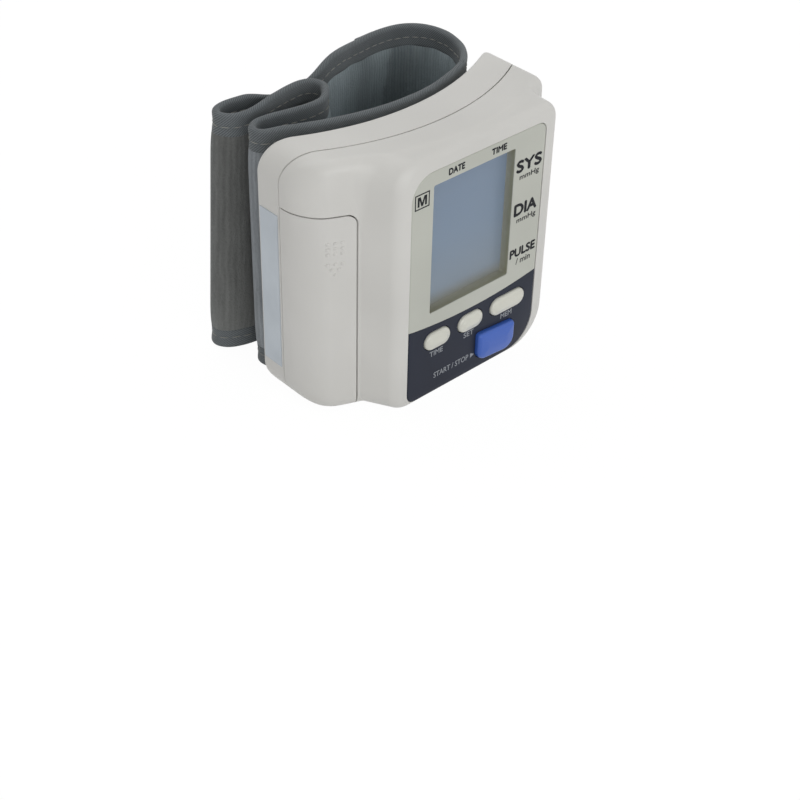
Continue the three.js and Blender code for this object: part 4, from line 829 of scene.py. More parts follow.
def skin(solid, axis, inset=0.0, columns=330, levels=44, bends=30, rings=12):
    """Closed skin of a solid that every level ray from an upright axis leaves once.

    Columns go round at even steps of the outline. Levels climb the walls. Near each end the rays swing from
    level to upright about a point inside the edge, and rings of upright rays close the flat end.
    """
    dense = np.linspace(0, TURN, ROUND_STEPS + 1)
    way = np.stack([np.cos(dense), np.sin(dense), 0 * dense], 1)
    middle = np.array([*axis, HEIGHT / 2])
    reach = shoot(solid, np.broadcast_to(middle, way.shape), way, RAY_REACH, inset)
    outline = middle + way * reach[:, None]
    travelled = np.concatenate([[0], np.cumsum(np.linalg.norm(np.diff(outline, axis=0), axis=1))])
    around = np.interp(np.arange(columns) * travelled[-1] / columns, travelled, dense)
    way = np.stack([np.cos(around), np.sin(around), 0 * around], 1)
    low, high = END_TURN + inset, HEIGHT - END_TURN - inset

    def level(z):
        centre = np.broadcast_to(np.array([*axis, z]), way.shape)
        return centre + way * shoot(solid, centre, way, RAY_REACH, inset)[:, None]

    def swing(z, sign):
        pivot = level(z) - way * END_TURN
        lean = np.radians(np.linspace(0, 90, bends + 1)[1:])[:, None, None]
        upright = np.array([0.0, 0.0, sign])
        rays = way * np.cos(lean) + upright * np.sin(lean)
        start = np.broadcast_to(pivot, rays.shape)
        edge = start + rays * shoot(solid, start, rays, END_REACH, inset)[..., None]
        shares = np.linspace(1, 0, rings + 1)[1:-1, None, None]
        pole = np.array([*axis, z])
        inner = pole + (pivot - pole) * shares
        up = np.broadcast_to(upright, inner.shape)
        flat = inner + up * shoot(solid, inner, up, END_REACH, inset)[..., None]
        tip = pole + upright * shoot(solid, pole[None], upright[None], END_REACH, inset)[0]
        return np.concatenate([edge, flat]), tip

    top, top_tip = swing(high, 1.0)
    bottom, bottom_tip = swing(low, -1.0)
    walls = np.stack([level(z) for z in np.linspace(low, high, levels)])
    stack = np.concatenate([bottom[::-1], walls, top])
    points = np.concatenate([stack.reshape(-1, 3), bottom_tip[None], top_tip[None]])
    first, last = len(points) - 2, len(points) - 1
    c = np.arange(columns)
    n = (c + 1) % columns
    end = (len(stack) - 1) * columns
    faces = grid_quads(len(stack), columns, wrap_columns=True).tolist()
    faces += np.stack([np.full(columns, first), n, c], 1).tolist()
    faces += np.stack([np.full(columns, last), end + c, end + n], 1).tolist()
    return points, faces


def drum(name, circle, radius_change):
    """Tall round solid on an arc of the case, whose radius is changed a little."""
    x, y, radius = circle
    outline = arc_points(x, y, radius + radius_change, 0, 360, 720)[:-1]
    levels = [np.insert(outline, 2, level, axis=1) for level in (-PAST_ENDS, HEIGHT + PAST_ENDS)]
    return loose(name, *capped(np.stack(levels)))


def cover_region(grow):
    """Prism over the lower left wing, with one round corner, that parts the battery cover from the case."""
    corners = (0.5, COVER_CORNER + grow, 0.5, 0.5)
    outline = rounded_outline(-HALF - OVERRUN, COVER_RIGHT + grow, -OVERRUN, COVER_TOP + grow, corners)
    return prism("cover_region", outline, -1, DEEP)


def bar(place, radius, near):
    """Round bar at (x, z) from a depth out through the back."""
    return prism("bar", arc_points(*place, radius, 0, 360, 40)[:-1], near, DEEP)


def screw_seat(place):
    """Depth of the ledge that a case screw's head pulls against, behind the parting line."""
    return PARTING[1] - math.sqrt(PARTING[2] ** 2 - (place[0] - PARTING[0]) ** 2) + SCREW_LEDGE


def wing_face(x):
    """Depth of the left wing's face."""
    return PARTING[1] - np.sqrt(WING_RADIUS**2 - (x - PARTING[0]) ** 2)


def make_cover_dots():
    """Raised dots on the battery cover, three rows of three over a small arrow that points down.

    Each dot is a quarter circle turned round.
    """
    rows = [(row, column) for row in (0, 1, 2, 4) for column in (-1, 0, 1)]
    rows += [(5, -0.5), (5, 0.5), (6, 0)]
    row_of, column_of = np.array(rows).T
    x, z = DOT_MIDDLE[0] + DOT_PITCH[0] * column_of, DOT_MIDDLE[1] - DOT_PITCH[1] * row_of
    lean = np.linspace(0, math.pi / 2, 6)[:-1]
    turn = evenly_round(16)
    reach = DOT_RADIUS * np.concatenate([[1.0], np.cos(lean)])[:, None]
    lifts = np.concatenate([[DOT_ROOT], DOT_HEIGHT * np.sin(lean)])
    across = reach * np.cos(turn) + x[:, None, None]
    up = reach * np.sin(turn) + z[:, None, None]
    spots = np.stack([across, wing_face(across) - lifts[:, None], up], -1)
    faces = spindles(len(rows), len(lifts), len(turn))
    piece("cover_dots", spots.reshape(-1, 3), faces, "cover", "cover", sharp=50)


def make_coil(number, x, y, base, tip):
    """Battery spring: round wire on a helix that narrows as it climbs, with a closed turn at each end."""
    share = np.linspace(0, 1, SPRING_RINGS)
    steady = np.clip((share - CLOSED_SHARE) / (1 - 2 * CLOSED_SHARE), 0, 1)
    eased = ease(share, CLOSED_SHARE, 1 - CLOSED_SHARE)
    rise = eased * (1 - STEADY_SHARE) + steady * STEADY_SHARE
    radius = SPRING_WIDE - SPRING_NARROWS * rise
    angle = TURN * SPRING_TURNS * share
    sign = math.copysign(1, tip - base)
    level = base + sign * SPRING_WIRE + (tip - base - sign * 2 * SPRING_WIRE) * rise
    turn = evenly_round(8)
    reach = radius[:, None] + SPRING_WIRE * np.cos(turn)
    across, deep = x + reach * np.cos(angle)[:, None], y + reach * np.sin(angle)[:, None]
    rings = np.stack([across, deep, level[:, None] + SPRING_WIRE * np.sin(turn)], -1)
    piece(f"battery_coil_{number}", *capped(rings), "steel", node=f"battery_spring_{number}")


def turned(x, y, profile):
    """Rings of points about an upright axis, from [radius, level] points."""
    radius, level = np.array(profile, float).T[:, :, None]
    turn = evenly_round(CELL_SIDES)
    return np.stack([x + radius * np.cos(turn), y + radius * np.sin(turn), level + 0 * turn], -1)


def make_cell(number, x, y, flat_end, way):
    """Battery: a steel can with a button at one end, in a wrap that folds over both rims."""

    def mirrored(profile):
        return [(radius, CELL_BODY - level) for radius, level in profile[::-1]]

    def placed(profile):
        return turned(x, y, [(radius, flat_end + way * level) for radius, level in profile])

    wrap = placed(WRAP_EDGE + mirrored(WRAP_EDGE) + mirrored(WRAP_INSIDE) + WRAP_INSIDE)
    button = [(radius, CELL_BODY + level) for radius, level in CAN_BUTTON]
    can = placed(CAN_EDGE + mirrored(CAN_EDGE) + button)
    quads = grid_quads(*wrap.shape[:2], wrap_rows=True, wrap_columns=True)
    node = f"battery_{number}"
    piece(f"battery_wrap_{number}", wrap.reshape(-1, 3), quads, "cell", node=node, sharp=40)
    piece(f"battery_can_{number}", *capped(can), "steel", sharp=40)


def make_case():
    """Front shell, battery cover and rear shell, cut from two smooth solids, and the batteries."""
    shell = outward(loose("front_case_skin", *skin(front_solid, FRONT_AXIS, columns=460)))
    hollow = loose("hollow", *skin(front_solid, FRONT_AXIS, WALL, **COARSE))
    carve(shell, [hollow, drum("behind", PARTING, SEAM)])
    cover = shell.copy()
    cover.data = shell.data.copy()
    cover.name = "battery_cover_skin"
    bpy.context.scene.collection.objects.link(cover)
    carve(cover, [cover_region(0)], "INTERSECT")
    finish(cover, "cover", "cover", "battery_cover", sharp=32)

    pocket = rounded_outline(*PLATE, PLATE_CORNERS, -PLATE_ROOM)
    opening = rounded_outline(*grown(WINDOW, WINDOW_ROOM), WINDOW_CORNERS)
    cutters = [cover_region(COVER_GAP), prism("pocket", pocket, -OVERRUN, PLATE_DEPTH)]
    cutters += [prism("opening", outline, *OPENED) for outline in (opening, *key_outlines(SHELL_HOLE))]
    carve(shell, cutters)
    finish(shell, "case", node="front_case", sharp=32)

    rear = outward(loose("rear_case_skin", *skin(rear_solid, REAR_AXIS)))
    hollow = loose("hollow", *skin(rear_solid, REAR_AXIS, WALL, **COARSE))
    carve(hollow, [bar(place, SCREW_BOSS, REAR_FRONT) for place in SCREW_PLACES])
    wells = [bar(place, SCREW_WELL, screw_seat(place)) for place in SCREW_PLACES]
    bores = [bar(place, SCREW_BORE, 0) for place in SCREW_PLACES]
    carve(rear, [hollow, *wells, *bores, bar(NIPPLE_PLACE, NIPPLE_HOLE, NIPPLE_NEAR)])
    carve(rear, [drum("before", PARTING, -SEAM)], "INTERSECT")
    finish(rear, "case", node="rear_case", sharp=32)
    make_cover_dots()
    for number, spring in enumerate(SPRINGS, 1):
        make_coil(number, *spring)
    for number, cell in enumerate(CELLS, 1):
        make_cell(number, *cell)


def grown(box, margin):
    """A (left, right, bottom, top) box grown on all sides."""
    left, right, bottom, top = box
    return left - margin, right + margin, bottom - margin, top + margin


# Front plate, display and keys

# Row of small keys: middle and half height, and each one's left and right
KEY_ROW, KEY_HALF = 17.4, 2.5
SMALL_KEYS = {"time": (-11.1, -2.64), "set": (0.26, 8.55), "memory": (11.45, 23.3)}

# Start key: left, right, bottom, top, corners, and how far its outline leans down to the right
START = (7.0, 19.79, 4.1, 12.2)
START_CORNERS, START_LEAN = (0.9, 0.9, 3.8, 2.4), 1.05

# Caps: width of the rounded edge, rise of the crown, height above the plate, inset of the crown's middle
SMALL_CAP = (0.9, 0.5, 1.3, 2.42)
START_CAP = (1.1, 0.25, 1.8, 3.6)
CAP_FOOT, CAP_WAIST = 2.7, 0.6

# Holes for the keys in the plate and in the shell, as insets of a key's outline
KEY_HOLE, SHELL_HOLE = -0.2, -0.3

# Arc between bezel and navy panel: its lowest level, radius and middle, and half the joint's width
NAVY_TOP, NAVY_RADIUS, NAVY_MIDDLE = 21.4, 136.0, 4.9
NAVY_JOINT = 0.04

# Cutters in the plate: left, right and foot of the navy field's, its depths, and those of the openings
NAVY_LEFT, NAVY_RIGHT, NAVY_FOOT = -18, 29, -2
NAVY_DEPTHS, HOLE_DEPTHS = (-4, 6), (-5, 6)

# Window well: width of its lip, and the levels of its face, step and foot
WELL_LIP, WELL_FACE, WELL_STEP, WELL_FOOT = 0.9, 0.2, 1.22, 2.68

# Printing: depth in front of the plate, and of each further coat
INK_DEPTH, INK_COAT = -0.012, -0.002

# Boxed M: its box and line, the letter's left, bottom, width and height, and its outline in shares of them
BOXED, BOX_LINE = (-15.6, -11.0, 57.0, 61.1), 0.34
LETTER = (-14.75, 57.75, 2.9, 2.6)
LETTER_SHARES = [
    (0, 0), (0.21, 0), (0.21, 0.68), (0.4, 0), (0.6, 0), (0.79, 0.68), (0.79, 0), (1, 0), (1, 1),
    (0.7, 1), (0.5, 0.36), (0.3, 1), (0, 1),
]
ARROW = [(5.2, 5.4), (6.6, 6.15), (5.2, 6.9)]


def small_key_outline(name, inset=0.0):
    """Stadium of a key in the row."""
    left, right = SMALL_KEYS[name]
    return rounded_outline(left, right, KEY_ROW - KEY_HALF, KEY_ROW + KEY_HALF, (KEY_HALF,) * 4, inset, 10)


def start_outline(inset=0.0):
    """Start key: small corners above, rounder ones below, leaning down a little to the right."""
    left, right = START[:2]
    outline = rounded_outline(*START, START_CORNERS, inset, 8)
    outline[:, 1] -= START_LEAN * (outline[:, 0] - left) / (right - left)
    return outline


def key_outlines(inset):
    """Outlines of the four keys."""
    return [small_key_outline(name, inset) for name in SMALL_KEYS] + [start_outline(inset)]


def make_key(name, outline_at, cap, slot):
    """Key cap: straight flanks, a quarter-round edge, then a crown that rises as a sine of the way in."""
    edge, crown, proud, deepest = cap
    rings = [lay(outline_at(0), depth) for depth in (CAP_FOOT, CAP_WAIST, edge - proud + crown)]
    for angle in np.radians(np.linspace(10, 90, 9)):
        depth = edge * (1 - math.sin(angle)) - proud + crown
        rings.append(lay(outline_at(edge * (1 - math.cos(angle))), depth))
    for share in np.linspace(0.1, 1, 10):
        depth = -proud + crown * (1 - math.sin(share * math.pi / 2))
        rings.append(lay(outline_at(edge + (deepest - edge) * share), depth))
    body, node = f"{name}_key", f"{name}_button"
    piece(f"{name}_key_cap", *capped(np.stack(rings)), slot, body, node=node, sharp=50)


def navy_edge(offset):
    """Region below the shallow arc that parts the light bezel from the navy panel."""
    x = np.linspace(NAVY_LEFT, NAVY_RIGHT, 60)
    z = NAVY_TOP + NAVY_RADIUS + offset - np.sqrt(NAVY_RADIUS**2 - (x - NAVY_MIDDLE) ** 2)
    foot = [(NAVY_LEFT, NAVY_FOOT), (NAVY_RIGHT, NAVY_FOOT)]
    return prism("navy_edge", np.concatenate([np.stack([x, z], 1)[::-1], foot]), *NAVY_DEPTHS)


def plate_solid(name):
    """Thin plate whose rim goes in along a quarter circle."""

    def ring(inset, depth):
        return lay(rounded_outline(*PLATE, PLATE_CORNERS, inset, 10), depth)

    rings = [ring(0.0, PLATE_DEPTH)]
    for angle in np.radians(np.linspace(0, 90, 6)):
        rings.append(ring(PLATE_EDGE * (1 - math.cos(angle)), PLATE_EDGE * (1 - math.sin(angle))))
    return outward(loose(name, *capped(np.stack(rings))))


def make_front_plate():
    """Bezel and button panel, two halves of one plate with the window and keys cut through."""
    window = [rounded_outline(*WINDOW, WINDOW_CORNERS)]
    for name, node, slot, operation, offset, openings in (
        ("bezel_plate", "display_bezel", "bezel", "DIFFERENCE", NAVY_JOINT, window),
        ("button_plate", "button_panel", "navy_panel", "INTERSECT", -NAVY_JOINT, []),
    ):
        plate = plate_solid(name)
        carve(plate, [prism("hole", outline, *HOLE_DEPTHS) for outline in key_outlines(KEY_HOLE) + openings])
        carve(plate, [navy_edge(offset)], operation)
        finish(plate, slot, node=node, sharp=35)


def make_window_well():
    """Walls that line the window from just under the bezel's face down to the display glass, in a dark khaki:
    the case's colour in painted shade.
    """
    inside = rounded_outline(*WINDOW, WINDOW_CORNERS, 0.05, 3)
    lip = rounded_outline(*WINDOW, WINDOW_CORNERS, 0.0, 3)
    outside = rounded_outline(*grown(WINDOW, WELL_LIP), (WELL_LIP,) * 4, 0, 3)
    rings = [lay(inside, WELL_FACE), lay(lip, WELL_FACE), lay(lip, WELL_STEP)]
    rings += [lay(outside, WELL_STEP), lay(outside, WELL_FOOT), lay(inside, WELL_FOOT)]
    faces = grid_quads(len(rings), len(inside), True, True)
    piece("window_well", np.concatenate(rings), faces, "well", smooth=False)


def make_keys():
    """Three ivory keys with soft domes and the larger blue start key."""
    for name in SMALL_KEYS:
        make_key(name, partial(small_key_outline, name), SMALL_CAP, "key_ivory")
    make_key("start", start_outline, START_CAP, "key_blue")


def lettering(name, words, x, z, height, width, bold, slot):
    """Printed words about a middle on the plate: text made a mesh, scaled to a cap height and a width.

    Bold millimetres thicken the strokes: the same flat letters are laid again to the left, right, up and
    down, each coat a little in front of the last.
    """
    curve = bpy.data.curves.new(name, "FONT")
    curve.body = words
    curve.resolution_u = 4
    text = in_scene(name, curve)
    mesh = bpy.data.meshes.new_from_object(text.evaluated_get(bpy.context.evaluated_depsgraph_get()))
    bpy.data.objects.remove(text)
    flat = np.zeros(len(mesh.vertices) * 3)
    mesh.vertices.foreach_get("co", flat)
    flat = flat.reshape(-1, 3)
    span = flat.max(0) - flat.min(0)
    middle = (flat.max(0) + flat.min(0)) / 2
    across = x + (flat[:, 0] - middle[0]) * (width / span[0])
    up = z + (flat[:, 1] - middle[1]) * (height / span[1])
    shifts = np.array([(0, 0), (bold, 0), (-bold, 0), (0, bold), (0, -bold)])
    layer = INK_DEPTH + INK_COAT * np.arange(len(shifts))
    places = np.broadcast_arrays(across + shifts[:, :1], layer[:, None], up + shifts[:, 1:])
    letters = [list(face.vertices) for face in mesh.polygons]
    faces = [[i + len(flat) * k for i in letter] for k in range(len(shifts)) for letter in letters]
    flat_piece(name, np.stack(places, -1).reshape(-1, 3), faces, slot, smooth=False)


def mark(name, corners, faces, slot):
    """Flat printed mark from corners as (across, up)."""
    points = np.insert(np.array(corners, float), 1, INK_DEPTH, axis=1)
    flat_piece(name, points, faces, slot, smooth=False)


def box_corners(left, right, bottom, top):
    """Corners of an upright rectangle, going round."""
    return [(left, bottom), (right, bottom), (right, top), (left, top)]


def make_marks():
    """The boxed M by the window and the arrow head before the start key."""
    left, bottom, width, height = LETTER
    letter = [(left + width * across, bottom + height * up) for across, up in LETTER_SHARES]
    mark("mark_memory", letter, [list(range(len(letter)))], "ink_dark")
    corners = box_corners(*BOXED) + box_corners(*grown(BOXED, -BOX_LINE))
    sides = [[i, (i + 1) % 4, (i + 1) % 4 + 4, i + 4] for i in range(4)]
    mark("mark_memory_box", corners, sides, "ink_dark")
    mark("mark_arrow", ARROW, [[0, 1, 2]], "ink_pale")


# Words with their middle across and up, height, width and how far the strokes are thickened
DARK_WORDS = {
    "date": ("DATE", -2.6, 63.5, 1.6, 5.0, 0.11),
    "time": ("TIME", 11.15, 63.5, 1.55, 4.9, 0.11),
    "systolic": ("SYS", 21.9, 55.9, 3.1, 8.4, 0.21),
    "systolic_unit": ("mmHg", 22.2, 52.6, 1.8, 6.6, 0.05),
    "diastolic": ("DIA", 21.7, 43.7, 3.1, 7.6, 0.21),
    "diastolic_unit": ("mmHg", 22.2, 40.4, 1.8, 6.6, 0.05),
    "pulse": ("PULSE", 21.8, 31.1, 2.4, 8.7, 0.16),
    "pulse_unit": ("/ min", 22.2, 28.3, 1.7, 5.0, 0.05),
}
PALE_WORDS = {
    "key_time": ("TIME", -6.9, 13.3, 1.5, 4.4, 0.03),
    "key_set": ("SET", 4.2, 13.6, 1.5, 3.4, 0.03),
    "key_memory": ("MEM", 17.5, 13.5, 1.5, 3.9, 0.03),
    "start_stop": ("START / STOP", -1.5, 6.2, 1.6, 12.0, 0.03),
}


def make_lettering():
    """Plain words by the display and the keys."""
    for words, slot in ((DARK_WORDS, "ink_dark"), (PALE_WORDS, "ink_pale")):
        for name, word in words.items():
            lettering(f"word_{name}", *word, slot)


# Cuff

# Cloth: levels on it, how far its ends stay from the cuff's edges, its least way from the next strand,
# the depth of its inner face, and the stretch over which it swells. It starts to swell a little under the
# tape's edge, and is tucked in over a stretch about that level.
CLOTH_ROWS, CLOTH_ENDS, CLOTH_ROOM, CLOTH_BACK, CLOTH_SWELL = 76, 0.7, 0.12, 0.2, 7
UNDER_TAPE, TUCKED = 0.5, (-1.2, 0.4)

# Tape: how far its flanks draw in, share of its half thickness at which its lining turns, and its swelling
FLANK_DRAW, LINING_SHARE, TAPE_SWELL = 0.17, 0.7, 0.04

# Stitches: pitch, length, thickness, share of it at the tips, rings of points and sides. How far they
# stand off their face and stray up and down, and how far in the tape's face lies at the seam.
STITCH_PITCH, STITCH_LENGTH, STITCH_THICK, TIP_SHARE, STITCH_RINGS, STITCH_SIDES = 2.5, 1.9, 0.11, 0.35, 5, 6
STITCH_OFF, STITCH_STRAY, STITCH_SINK = 0.05, 0.12, 0.15

# Flap: its corners' radius, the stretch over which its ends thin and the least share left, the powers
# that square its section, how far its cloth ends inside the tape, and its tape's half thickness
FLAP_CORNER, FLAP_THINS, THIN_SHARE = 5.0, 1.2, 0.15
FLAP_POWERS, FLAP_CLOTH_ENDS, FLAP_TAPE_HALF = (0.35, 0.12), 0.5, FLAP_HALF + 0.22

# Tape across the flap's free end: how far it stops short above and below, stands out past the end, and
# lies over the other two. Its row of stitches stands off the cloth and starts a share of the way in.
END_SHORT, END_PAST, END_OVER = 0.3, 0.4, 0.06
FLAP_STITCH_OFF, FLAP_STITCH_SHARE = 0.08, 0.02

# Hook patch: its span in shares of the way, how far it keeps from the flap's edges, and its two faces
PATCH, PATCH_MARGIN, PATCH_NEAR, PATCH_FAR = (FLAP[0] + 0.024, FLAP[1] - 0.018), 8, 1.78, 1.95

# Hooks: rows and columns apart, how far every other column is shifted, how far they keep from the top and
# start inside the backing, sides, then climb, thickness and lean at each ring of points
HOOK_ROWS, HOOK_COLUMNS, HOOK_SHIFT, HOOK_TOP, HOOK_SUNK, HOOK_SIDES = 0.9, 0.8, 0.405, 0.4, 0.03, 5
HOOK_CLIMB, HOOK_THICK, HOOK_LEAN = np.array([
    (0, 0.14, 0.24, 0.28), (0.13, 0.1, 0.12, 0.04), (0, 0.02, 0.09, 0.17),
])[:, :, None]


def cuff_at(shares):
    """Places on the middle line at shares of its length, and the directions pointing out of the loop."""

    def at(s):
        way = (s % 1.0) * CUFF_LENGTH
        return np.stack([np.interp(way, CUFF_TRAVEL, CUFF_LOOP[:, i]) for i in (0, 1)], -1)

    ahead = at(shares + AHEAD_SHARE) - at(shares - AHEAD_SHARE)
    ahead /= np.linalg.norm(ahead, axis=-1, keepdims=True)
    return at(shares), np.stack([-ahead[..., 1], ahead[..., 0]], -1)


def edge_lift(shares):
    """How much higher or lower than level the top edge runs, eased between the places of EDGE_LIFT."""
    knots, lifts = np.array(EDGE_LIFT + [(1.0, EDGE_LIFT[0][1])]).T
    s = shares % 1.0
    after = np.clip(np.searchsorted(knots, s, side="right"), 1, len(knots) - 1)
    t = ease(s, knots[after - 1], knots[after])
    return lifts[after - 1] * (1 - t) + lifts[after] * t


def cuff_points(shares, offsets, heights):
    """Points at shares of the way, offsets out of the middle line and heights.

    The heights follow the uneven top edge, and the last fold's foot splays out to the left and the back.
    """
    shares, offsets, heights = np.broadcast_arrays(shares, offsets, heights)
    place, out = cuff_at(shares)
    rise = np.clip((heights - CUFF_LOW) / (CUFF_HIGH - CUFF_LOW), 0, 1)
    z = heights + edge_lift(shares) * rise**2
    middle, width, left, back = SPLAY
    spread = np.exp(-(((shares - middle) / width) ** 2)) * (1 - rise)
    x = place[..., 0] + out[..., 0] * offsets - left * spread
    y = place[..., 1] + out[..., 1] * offsets + back * spread
    return np.stack([x, y, z], -1)


def strand_room(shares):
    """Half the way to the nearest other strand, on the outer and on the inner side of the middle line."""
    place, out = cuff_at(shares)
    gap = place[None] - place[:, None]
    apart = np.abs(shares[None] - shares[:, None])
    apart = np.minimum(apart, 1 - apart) * CUFF_LENGTH
    distance = np.where(apart < SAME_STRAND, np.inf, np.linalg.norm(gap, axis=2))
    outside = (gap * out[:, None]).sum(2) > 0
    outer, inner = np.where(outside, distance, np.inf), np.where(outside, np.inf, distance)
    return outer.min(1) / 2, inner.min(1) / 2


def ripple(shares, heights, seed, waves, strength):
    """Creases of worn cloth.

    They are sines along the cuff whose phase drifts with height, and each is strong in some places only.
    """
    rng = np.random.default_rng(seed)
    total = np.zeros(np.broadcast(shares, heights).shape)
    for _ in range(9):
        count = rng.integers(*waves)
        lean, phase, bow = rng.uniform(-0.04, 0.04), rng.uniform(0, TURN), rng.uniform(-0.9, 0.9)
        patch = 0.55 + 0.45 * np.sin(TURN * shares * rng.integers(1, 5) + phase)
        drift = lean * heights + bow * np.sin(heights * math.pi / HEIGHT)
        total += rng.uniform(0.4, 1.0) * np.sin(TURN * count * shares + phase + drift) * patch
    return strength * total / 3


def swept_uv(shares, run):
    """UV in metres: the way along the cuff, and the way across the piece."""
    return np.stack(np.broadcast_arrays(shares * CUFF_LENGTH * MM, run * MM), -1).reshape(-1, 2)


def make_cloth(name, side, slot, node, seed, waves, strength, crown):
    """Cloth face of the cuff, a thin closed skin that never meets the next strand.

    It is tucked in under the tapes and swells out between them, as a quarter circle from each tape, with
    creases on top.
    """
    heights = np.linspace(CUFF_LOW + CLOTH_ENDS, CUFF_HIGH - CLOTH_ENDS, CLOTH_ROWS)[:, None]
    tape = TAPE_FALL - UNDER_TAPE
    beyond = np.minimum(heights - CUFF_LOW - tape, CUFF_HIGH - tape - heights)
    rise = np.clip(beyond / CLOTH_SWELL, 0, 1)
    puff = np.sqrt(rise * (2 - rise))
    flat = CLOTH_HALF - TUCK * (1 - ease(beyond, *TUCKED))
    room = strand_room(CUFF_SHARES[0])[0 if side > 0 else 1][None, :] - CLOTH_ROOM
    swell = crown * puff + ripple(CUFF_SHARES, heights, seed, waves, strength) * puff
    face = np.minimum(flat + swell, room)
    levels = np.concatenate([heights, heights[::-1]])
    offsets = side * np.concatenate([face, np.full_like(face, CLOTH_BACK)])
    points = cuff_points(CUFF_SHARES, offsets, levels).reshape(-1, 3)
    faces = grid_quads(2 * CLOTH_ROWS, CUFF_STEPS, True, True)
    made = piece(name, points, faces, slot, node=node, uv=swept_uv(CUFF_SHARES, levels))


def folded_tape(half, fall):
    """Section of a tape folded over an edge: half its thickness, and how far both flanks come down.

    The lip is a round roll; under it the flanks draw in a little and flare again at the seam.
    """
    down = np.linspace(fall, half, 9)
    flank = half - FLANK_DRAW * np.sin(math.pi * np.clip((down - half) / (fall - half), 0, 1)) ** 2
    arc = np.linspace(0, math.pi, 15)[1:-1]
    offsets = np.concatenate([flank, half * np.cos(arc), -flank[::-1]])
    falls = np.concatenate([down, half * (1 - np.sin(arc)), down[::-1]])
    lining = np.concatenate([-(flank - TAPE_THIN), [0.0], (flank - TAPE_THIN)[::-1]])
    lining_falls = np.concatenate([down, [LINING_SHARE * half], down[::-1]])
    return np.concatenate([offsets, lining]), np.concatenate([falls, lining_falls])


def tape_run(offsets, falls):
    """Way round a tape's section from its first point."""
    return np.concatenate([[0], np.cumsum(np.hypot(np.diff(offsets), np.diff(falls)))])


def make_tape(name, edge, side, node):
    """Binding tape: the folded section swept round the middle line, swelling as a product of two sines."""
    offsets, falls = folded_tape(TAPE_HALF, TAPE_FALL)
    swell = 1 + TAPE_SWELL * np.sin(TURN * 29 * CUFF_SHARES + 1.0) * np.sin(TURN * 3 * CUFF_SHARES)
    points = cuff_points(CUFF_SHARES, offsets[:, None] * swell, edge - side * falls[:, None])
    faces = grid_quads(len(offsets), CUFF_STEPS, True, True)
    uv = swept_uv(CUFF_SHARES, tape_run(offsets, falls)[:, None])
    made = piece(name, points.reshape(-1, 3), faces, "tape", node=node, uv=uv)


def make_stitches(name, level, offset, start=0.0, end=1.0, body="monitor"):
    """Row of short stitches: spindles as thick as a sine along them, end to end, a little out of line."""
    count = int((end - start) * CUFF_LENGTH / STITCH_PITCH)
    rng = np.random.default_rng(int(level * 10))
    bow = np.sin(np.linspace(0, math.pi, STITCH_RINGS))
    at = np.arange(count)[:, None] * STITCH_PITCH + np.linspace(0, STITCH_LENGTH, STITCH_RINGS)
    shares = (start + at / CUFF_LENGTH)[..., None]
    radius = (STITCH_THICK * (TIP_SHARE + (1 - TIP_SHARE) * bow))[None, :, None]
    around = evenly_round(STITCH_SIDES)
    lift = offset + math.copysign(STITCH_OFF, offset) + radius * np.cos(around)
    stray = rng.uniform(-STITCH_STRAY, STITCH_STRAY, (count, 1, 1))
    height = level + stray + radius * np.sin(around)
    spots = cuff_points(shares, lift, height).reshape(-1, 3)
    piece(name, spots, spindles(count, STITCH_RINGS, STITCH_SIDES), "thread", body)


def rounded_power(value, power):
    """A sine or cosine raised to a power that squares off the round, with its sign kept."""
    return np.sign(value) * np.abs(value) ** power


def make_flap():
    """Fastened end of the cuff: a flap on the back strand, bound on three sides, peeling with its joint.

    Its section is a cosine and a sine raised to small powers, which squares off the round, and the free
    end's corners are quarter circles.
    """
    start, end = FLAP
    length = (end - start) * CUFF_LENGTH
    way = length * (1 - np.cos(np.linspace(0, math.pi, 60))) / 2
    reach = np.clip(FLAP_CORNER - way, 0, FLAP_CORNER)
    cut = FLAP_CORNER - np.sqrt(FLAP_CORNER**2 - reach**2)
    swell = FLAP_HALF * np.clip(np.minimum(way, length - way) / FLAP_THINS, THIN_SHARE, 1) ** 0.5
    turn = evenly_round(64)
    side, rise = map(rounded_power, (np.cos(turn), np.sin(turn)), FLAP_POWERS)
    middle, half = (FLAP_LOW + FLAP_HIGH) / 2, (FLAP_HIGH - FLAP_LOW) / 2
    shares = (start + way / CUFF_LENGTH)[:, None]
    heights = middle + (half - FLAP_CLOTH_ENDS - cut[:, None]) * rise[None, :]
    points = cuff_points(shares, FLAP_MIDDLE + swell[:, None] * side[None, :], heights)
    uv = swept_uv(shares, heights)
    made = piece("cuff_flap", *capped(points), "plush", "cuff_end", node="cuff_end_tab", uv=uv)

    offsets, falls = folded_tape(FLAP_TAPE_HALF, TAPE_FALL)
    run = tape_run(offsets, falls)[None, :]
    along = np.linspace(start, end, 60)[:, None]
    for name, edge, down in (("flap_tape_top", FLAP_HIGH, 1), ("flap_tape_bottom", FLAP_LOW, -1)):
        strip = cuff_points(along, FLAP_MIDDLE + offsets[None, :], edge - down * falls[None, :])
        piece(name, *capped(strip), "tape", "cuff_end", uv=swept_uv(along, run))
    levels = np.linspace(FLAP_LOW + END_SHORT, FLAP_HIGH - END_SHORT, 90)[:, None]
    over = END_OVER * (offsets > 0) - END_OVER * (offsets < 0)
    along = start + (falls[None, :] - END_PAST) / CUFF_LENGTH
    strip = cuff_points(along, FLAP_MIDDLE + offsets + over, levels)
    uv = np.stack(np.broadcast_arrays(levels * MM, run * MM), -1).reshape(-1, 2)
    piece("flap_tape_end", *capped(strip), "tape", "cuff_end", uv=uv)
    face = FLAP_MIDDLE + FLAP_HALF + FLAP_STITCH_OFF
    first = start + FLAP_STITCH_SHARE
    make_stitches("flap_stitches", FLAP_HIGH - SEAM_FALL, face, first, end, "cuff_end")


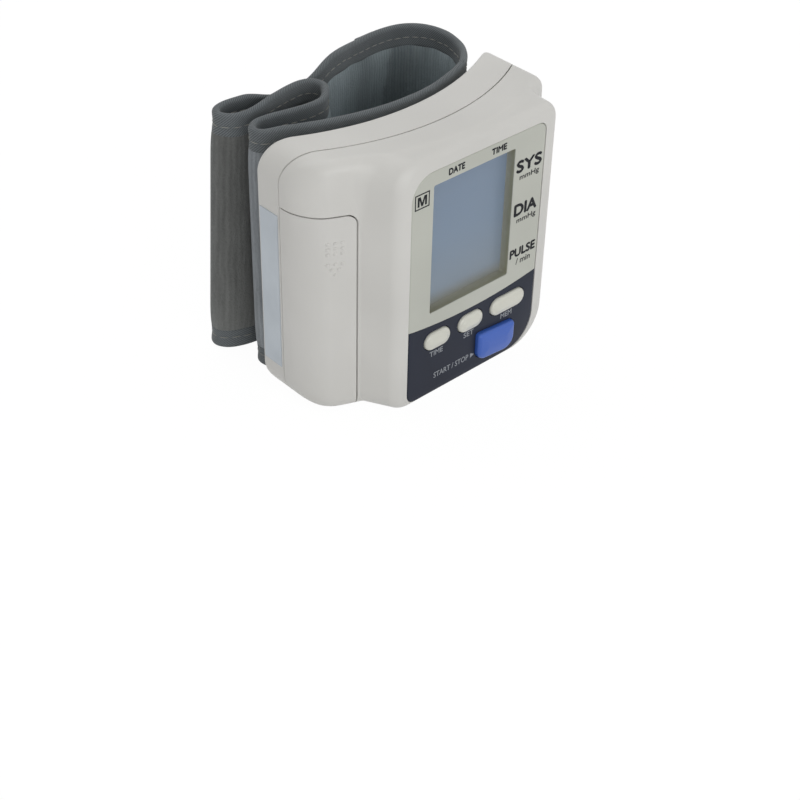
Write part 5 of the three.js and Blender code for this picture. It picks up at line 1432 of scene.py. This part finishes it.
def make_hook_patch():
    """Hook patch under the flap: a thin backing set with rows of small leaning hooks that face the cuff."""
    start, end = PATCH
    low, high = FLAP_LOW + PATCH_MARGIN, FLAP_HIGH - PATCH_MARGIN
    along = np.linspace(start, end, 40)[:, None]
    level, offset = np.array(box_corners(low, high, PATCH_NEAR, PATCH_FAR)).T
    points, faces = capped(cuff_points(along, offset, level))
    rows, columns = int((high - low) / HOOK_ROWS), int((end - start) * CUFF_LENGTH / HOOK_COLUMNS)
    row_of, column_of = np.arange(rows)[:, None], np.arange(columns)[None, :]
    z = low + HOOK_ROWS / 2 + HOOK_ROWS * row_of + HOOK_SHIFT * (column_of % 2)
    s = start + (HOOK_COLUMNS / 2 + HOOK_COLUMNS * column_of) / CUFF_LENGTH
    s, z = (v.reshape(-1, 1, 1) for v in np.broadcast_arrays(s, z))
    around = evenly_round(HOOK_SIDES)
    across = s + HOOK_THICK * np.cos(around) / CUFF_LENGTH
    up = np.minimum(z, high - HOOK_TOP) + HOOK_LEAN + HOOK_THICK * np.sin(around)
    hooks = cuff_points(across, PATCH_NEAR + HOOK_SUNK - HOOK_CLIMB + 0 * around, up)
    faces += spindles(len(hooks), len(HOOK_CLIMB), HOOK_SIDES, len(points))
    points = np.concatenate([points, hooks.reshape(-1, 3)])
    piece("hook_patch_hooks", points, faces, "hook", "cuff_end", node="hook_patch", smooth=False)


def make_cuff():
    """Cuff: plush outside, brushed lining, taped edges with their stitching, and the end flap."""
    make_cloth("cuff_outer", 1, "plush", "cuff_outer_cloth", 3, (9, 30), 0.13, 0.5)
    make_cloth("cuff_lining_cloth", -1, "lining", "cuff_lining", 8, (8, 22), 0.3, 0.6)
    make_tape("cuff_tape_top", CUFF_HIGH, 1, "cuff_binding_top")
    make_tape("cuff_tape_bottom", CUFF_LOW, -1, "cuff_binding_bottom")
    for place, level in (("top", CUFF_HIGH - SEAM_FALL), ("bottom", CUFF_LOW + SEAM_FALL)):
        for face, side in (("outer", 1), ("inner", -1)):
            make_stitches(f"stitches_{place}_{face}", level, side * (TAPE_HALF - STITCH_SINK))
    make_flap()
    make_hook_patch()


# Whole scene

make_camera()
background_world()
make_floor()
make_lamps()
bpy.context.scene.view_settings.view_transform = "Standard"

dress_packed_nodes()
make_case()
make_front_plate()
make_window_well()
make_keys()
make_lettering()
make_marks()
make_cuff()
